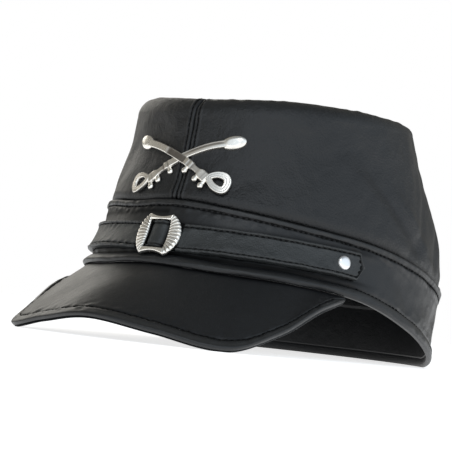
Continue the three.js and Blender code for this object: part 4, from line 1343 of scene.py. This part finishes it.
def sew_everything():
    """All the stitches that show: seams, the band's two edges, the visor and the strap."""
    seams = [seam_line(side, middle) for side in (1, -1) for middle in (0, 180)]
    sew("crown_seam_stitches", seams, 1)
    ring = np.arange(0, 360.5, 1.0)
    sew("band_hem_stitches", [band_surface(ring, band_slant(ring) - HEM_STITCH, 0.1)], 2)
    low = np.arange(66, 294.5, 1.0)
    sew("rim_stitches", [band_surface(low, np.full(len(low), ROLL_HEIGHT + 0.5), 0.25)], 3)
    across = np.linspace(-0.93 * VISOR_SPAN, 0.93 * VISOR_SPAN, 240)
    run = visor_run(across)
    sew("visor_stitches", [visor_surface(across, stitch_inset(run) / run, 0.08)], 4)
    reach = STRAP_HALF - STRAP_POINT - 0.4
    length = np.linspace(-reach, reach, 300)
    ends = (length[length < -BUCKLE_WIDTH / 2], length[length > BUCKLE_WIDTH / 2])
    lines = [strap_line(end, np.full(len(end), side * EDGE_SHARE)) for side in (1, -1) for end in ends]
    sew("strap_stitches", lines + [tab_line(side, reach) for side in (1, -1)], 5)


def strap_line(length, share):
    point, normal, _ = strap_surface(length, share, 0.08)
    return point, normal


def tab_line(side, reach):
    """The stitches round the strap's pointed tab."""
    tip = STRAP_HALF - STRAP_STITCH * 1.3
    u = np.linspace(-1, 1, 31)
    length = side * (reach + (tip - reach) * (1 - np.abs(u)))
    share = u * EDGE_SHARE * (STRAP_WIDTH / 2) / np.maximum(strap_width_at(length), 0.3)
    return strap_line(length, np.clip(share, -0.96, 0.96))


make_crown_panel(1)
make_crown_panel(-1)
make_crown_top()
make_band()
make_rim_roll()
make_visor_upper()
make_visor_lower()
make_strap()
make_buckle()
make_badge()
make_rivet(1)
make_rivet(-1)
sew_everything()


def make_floor():
    half = FLOOR_HALF
    mesh = bpy.data.meshes.new("floor")
    corners = [(-half, -half, 0), (half, -half, 0), (half, half, 0), (-half, half, 0)]
    mesh.from_pydata(corners, [], [(0, 1, 2, 3)])
    floor = put_in_scene("floor", mesh)
    material, shader, _ = new_finish("pale_floor")
    shader.inputs["Base Color"].default_value = (0.92, 0.92, 0.92, 1)
    shader.inputs["Roughness"].default_value = 0.9
    shader.inputs["Specular IOR Level"].default_value = 0.1
    shader.inputs["Emission Color"].default_value = (1, 1, 1, 1)
    shader.inputs["Emission Strength"].default_value = FLOOR_GLOW
    mesh.materials.append(material)


def direction(azimuth, elevation=0):
    """From the cap, in degrees: azimuth 0 is in front of it and 90 on the wearer's left."""
    turn, rise = math.radians(azimuth), math.radians(elevation)
    return Vector((math.sin(turn) * math.cos(rise), -math.cos(turn) * math.cos(rise), math.sin(rise)))


def softbox(name, azimuth, elevation, distance, wide, tall, power, colour):
    """A flat light aimed at the cap, with its place and size in degrees and metres."""
    light = bpy.data.lights.new(name, "AREA")
    light.shape = "RECTANGLE"
    light.size = wide
    light.size_y = tall
    light.energy = power
    light.color = colour
    lamp = put_in_scene(name, light)
    place = CAP_MIDDLE + direction(azimuth, elevation) * distance
    lamp.location = place
    lamp.rotation_euler = (CAP_MIDDLE - place).to_track_quat("-Z", "Y").to_euler()


def make_world():
    """A white room that the camera sees as plain white.

    Its light is cool and bright before the cap, warm on the wearer's right, and dim behind and above.
    """
    world = bpy.data.worlds.new("studio")
    bpy.context.scene.world = world
    world.use_nodes = True
    tree = world.node_tree
    tree.nodes.clear()
    shade = Shade(tree)
    way = shade.add("ShaderNodeTexCoord", output="Generated")
    height = shade.add("ShaderNodeSeparateXYZ", None, {0: way}, output=2)

    def towards(side):
        settings = {"operation": "DOT_PRODUCT"}
        return shade.add("ShaderNodeVectorMath", settings, {0: way, 1: direction(side)}, output=1)

    colour = towards(WARM_SIDE).between(-0.5, 0.6).mixed(COOL_LIGHT, WARM_LIGHT)
    walls = towards(LIT_SIDE).between(-0.45, 0.9) * (FRONT_LIGHT - BACK_LIGHT) + BACK_LIGHT
    strength = walls - (walls - CEILING_LIGHT) * height.between(0.45, 0.95)
    lit = shade.add("ShaderNodeBackground", None, {"Color": colour, "Strength": strength})
    seen = shade.add("ShaderNodeBackground", None, {"Color": (1, 1, 1, 1), "Strength": 1})
    camera_ray = shade.add("ShaderNodeLightPath", output="Is Camera Ray")
    both = shade.add("ShaderNodeMixShader", None, {0: camera_ray, 1: lit, 2: seen})
    result = tree.nodes.new("ShaderNodeOutputWorld")
    tree.links.new(both.socket, result.inputs[0])


def make_camera():
    """The photograph's view: from the wearer's left front, from just above the floor, and a little tilted."""
    azimuth, tilt = math.radians(CAMERA_AZIMUTH), math.radians(CAMERA_TILT)
    back = direction(CAMERA_AZIMUTH, CAMERA_ELEVATION)
    right = Vector((math.cos(azimuth), math.sin(azimuth), 0))
    up = back.cross(right)
    target = Vector((0, (RIM_MIDDLE_Y + 1) * MM, TARGET_HEIGHT * MM))
    place = target + back * CAMERA_DISTANCE
    middle = target + right * PICTURE_ASIDE * MM + up * PICTURE_ABOVE * MM
    sight = (place - middle).normalized()
    level = up.cross(sight).normalized()
    high = sight.cross(level)
    turned_right = level * math.cos(tilt) + high * math.sin(tilt)
    turned_up = high * math.cos(tilt) - level * math.sin(tilt)
    camera = bpy.data.cameras.new("camera")
    camera.sensor_width = 36
    camera.lens = CAMERA_LENS
    camera.clip_start = 0.01
    holder = put_in_scene("camera", camera)
    axes = Matrix((turned_right, turned_up, sight)).transposed()
    holder.matrix_world = Matrix.Translation(place) @ axes.to_4x4()
    bpy.context.scene.camera = holder


make_floor()
make_world()
for box in SOFTBOXES:
    softbox(**box)
make_camera()
bpy.context.scene.view_settings.view_transform = "Standard"
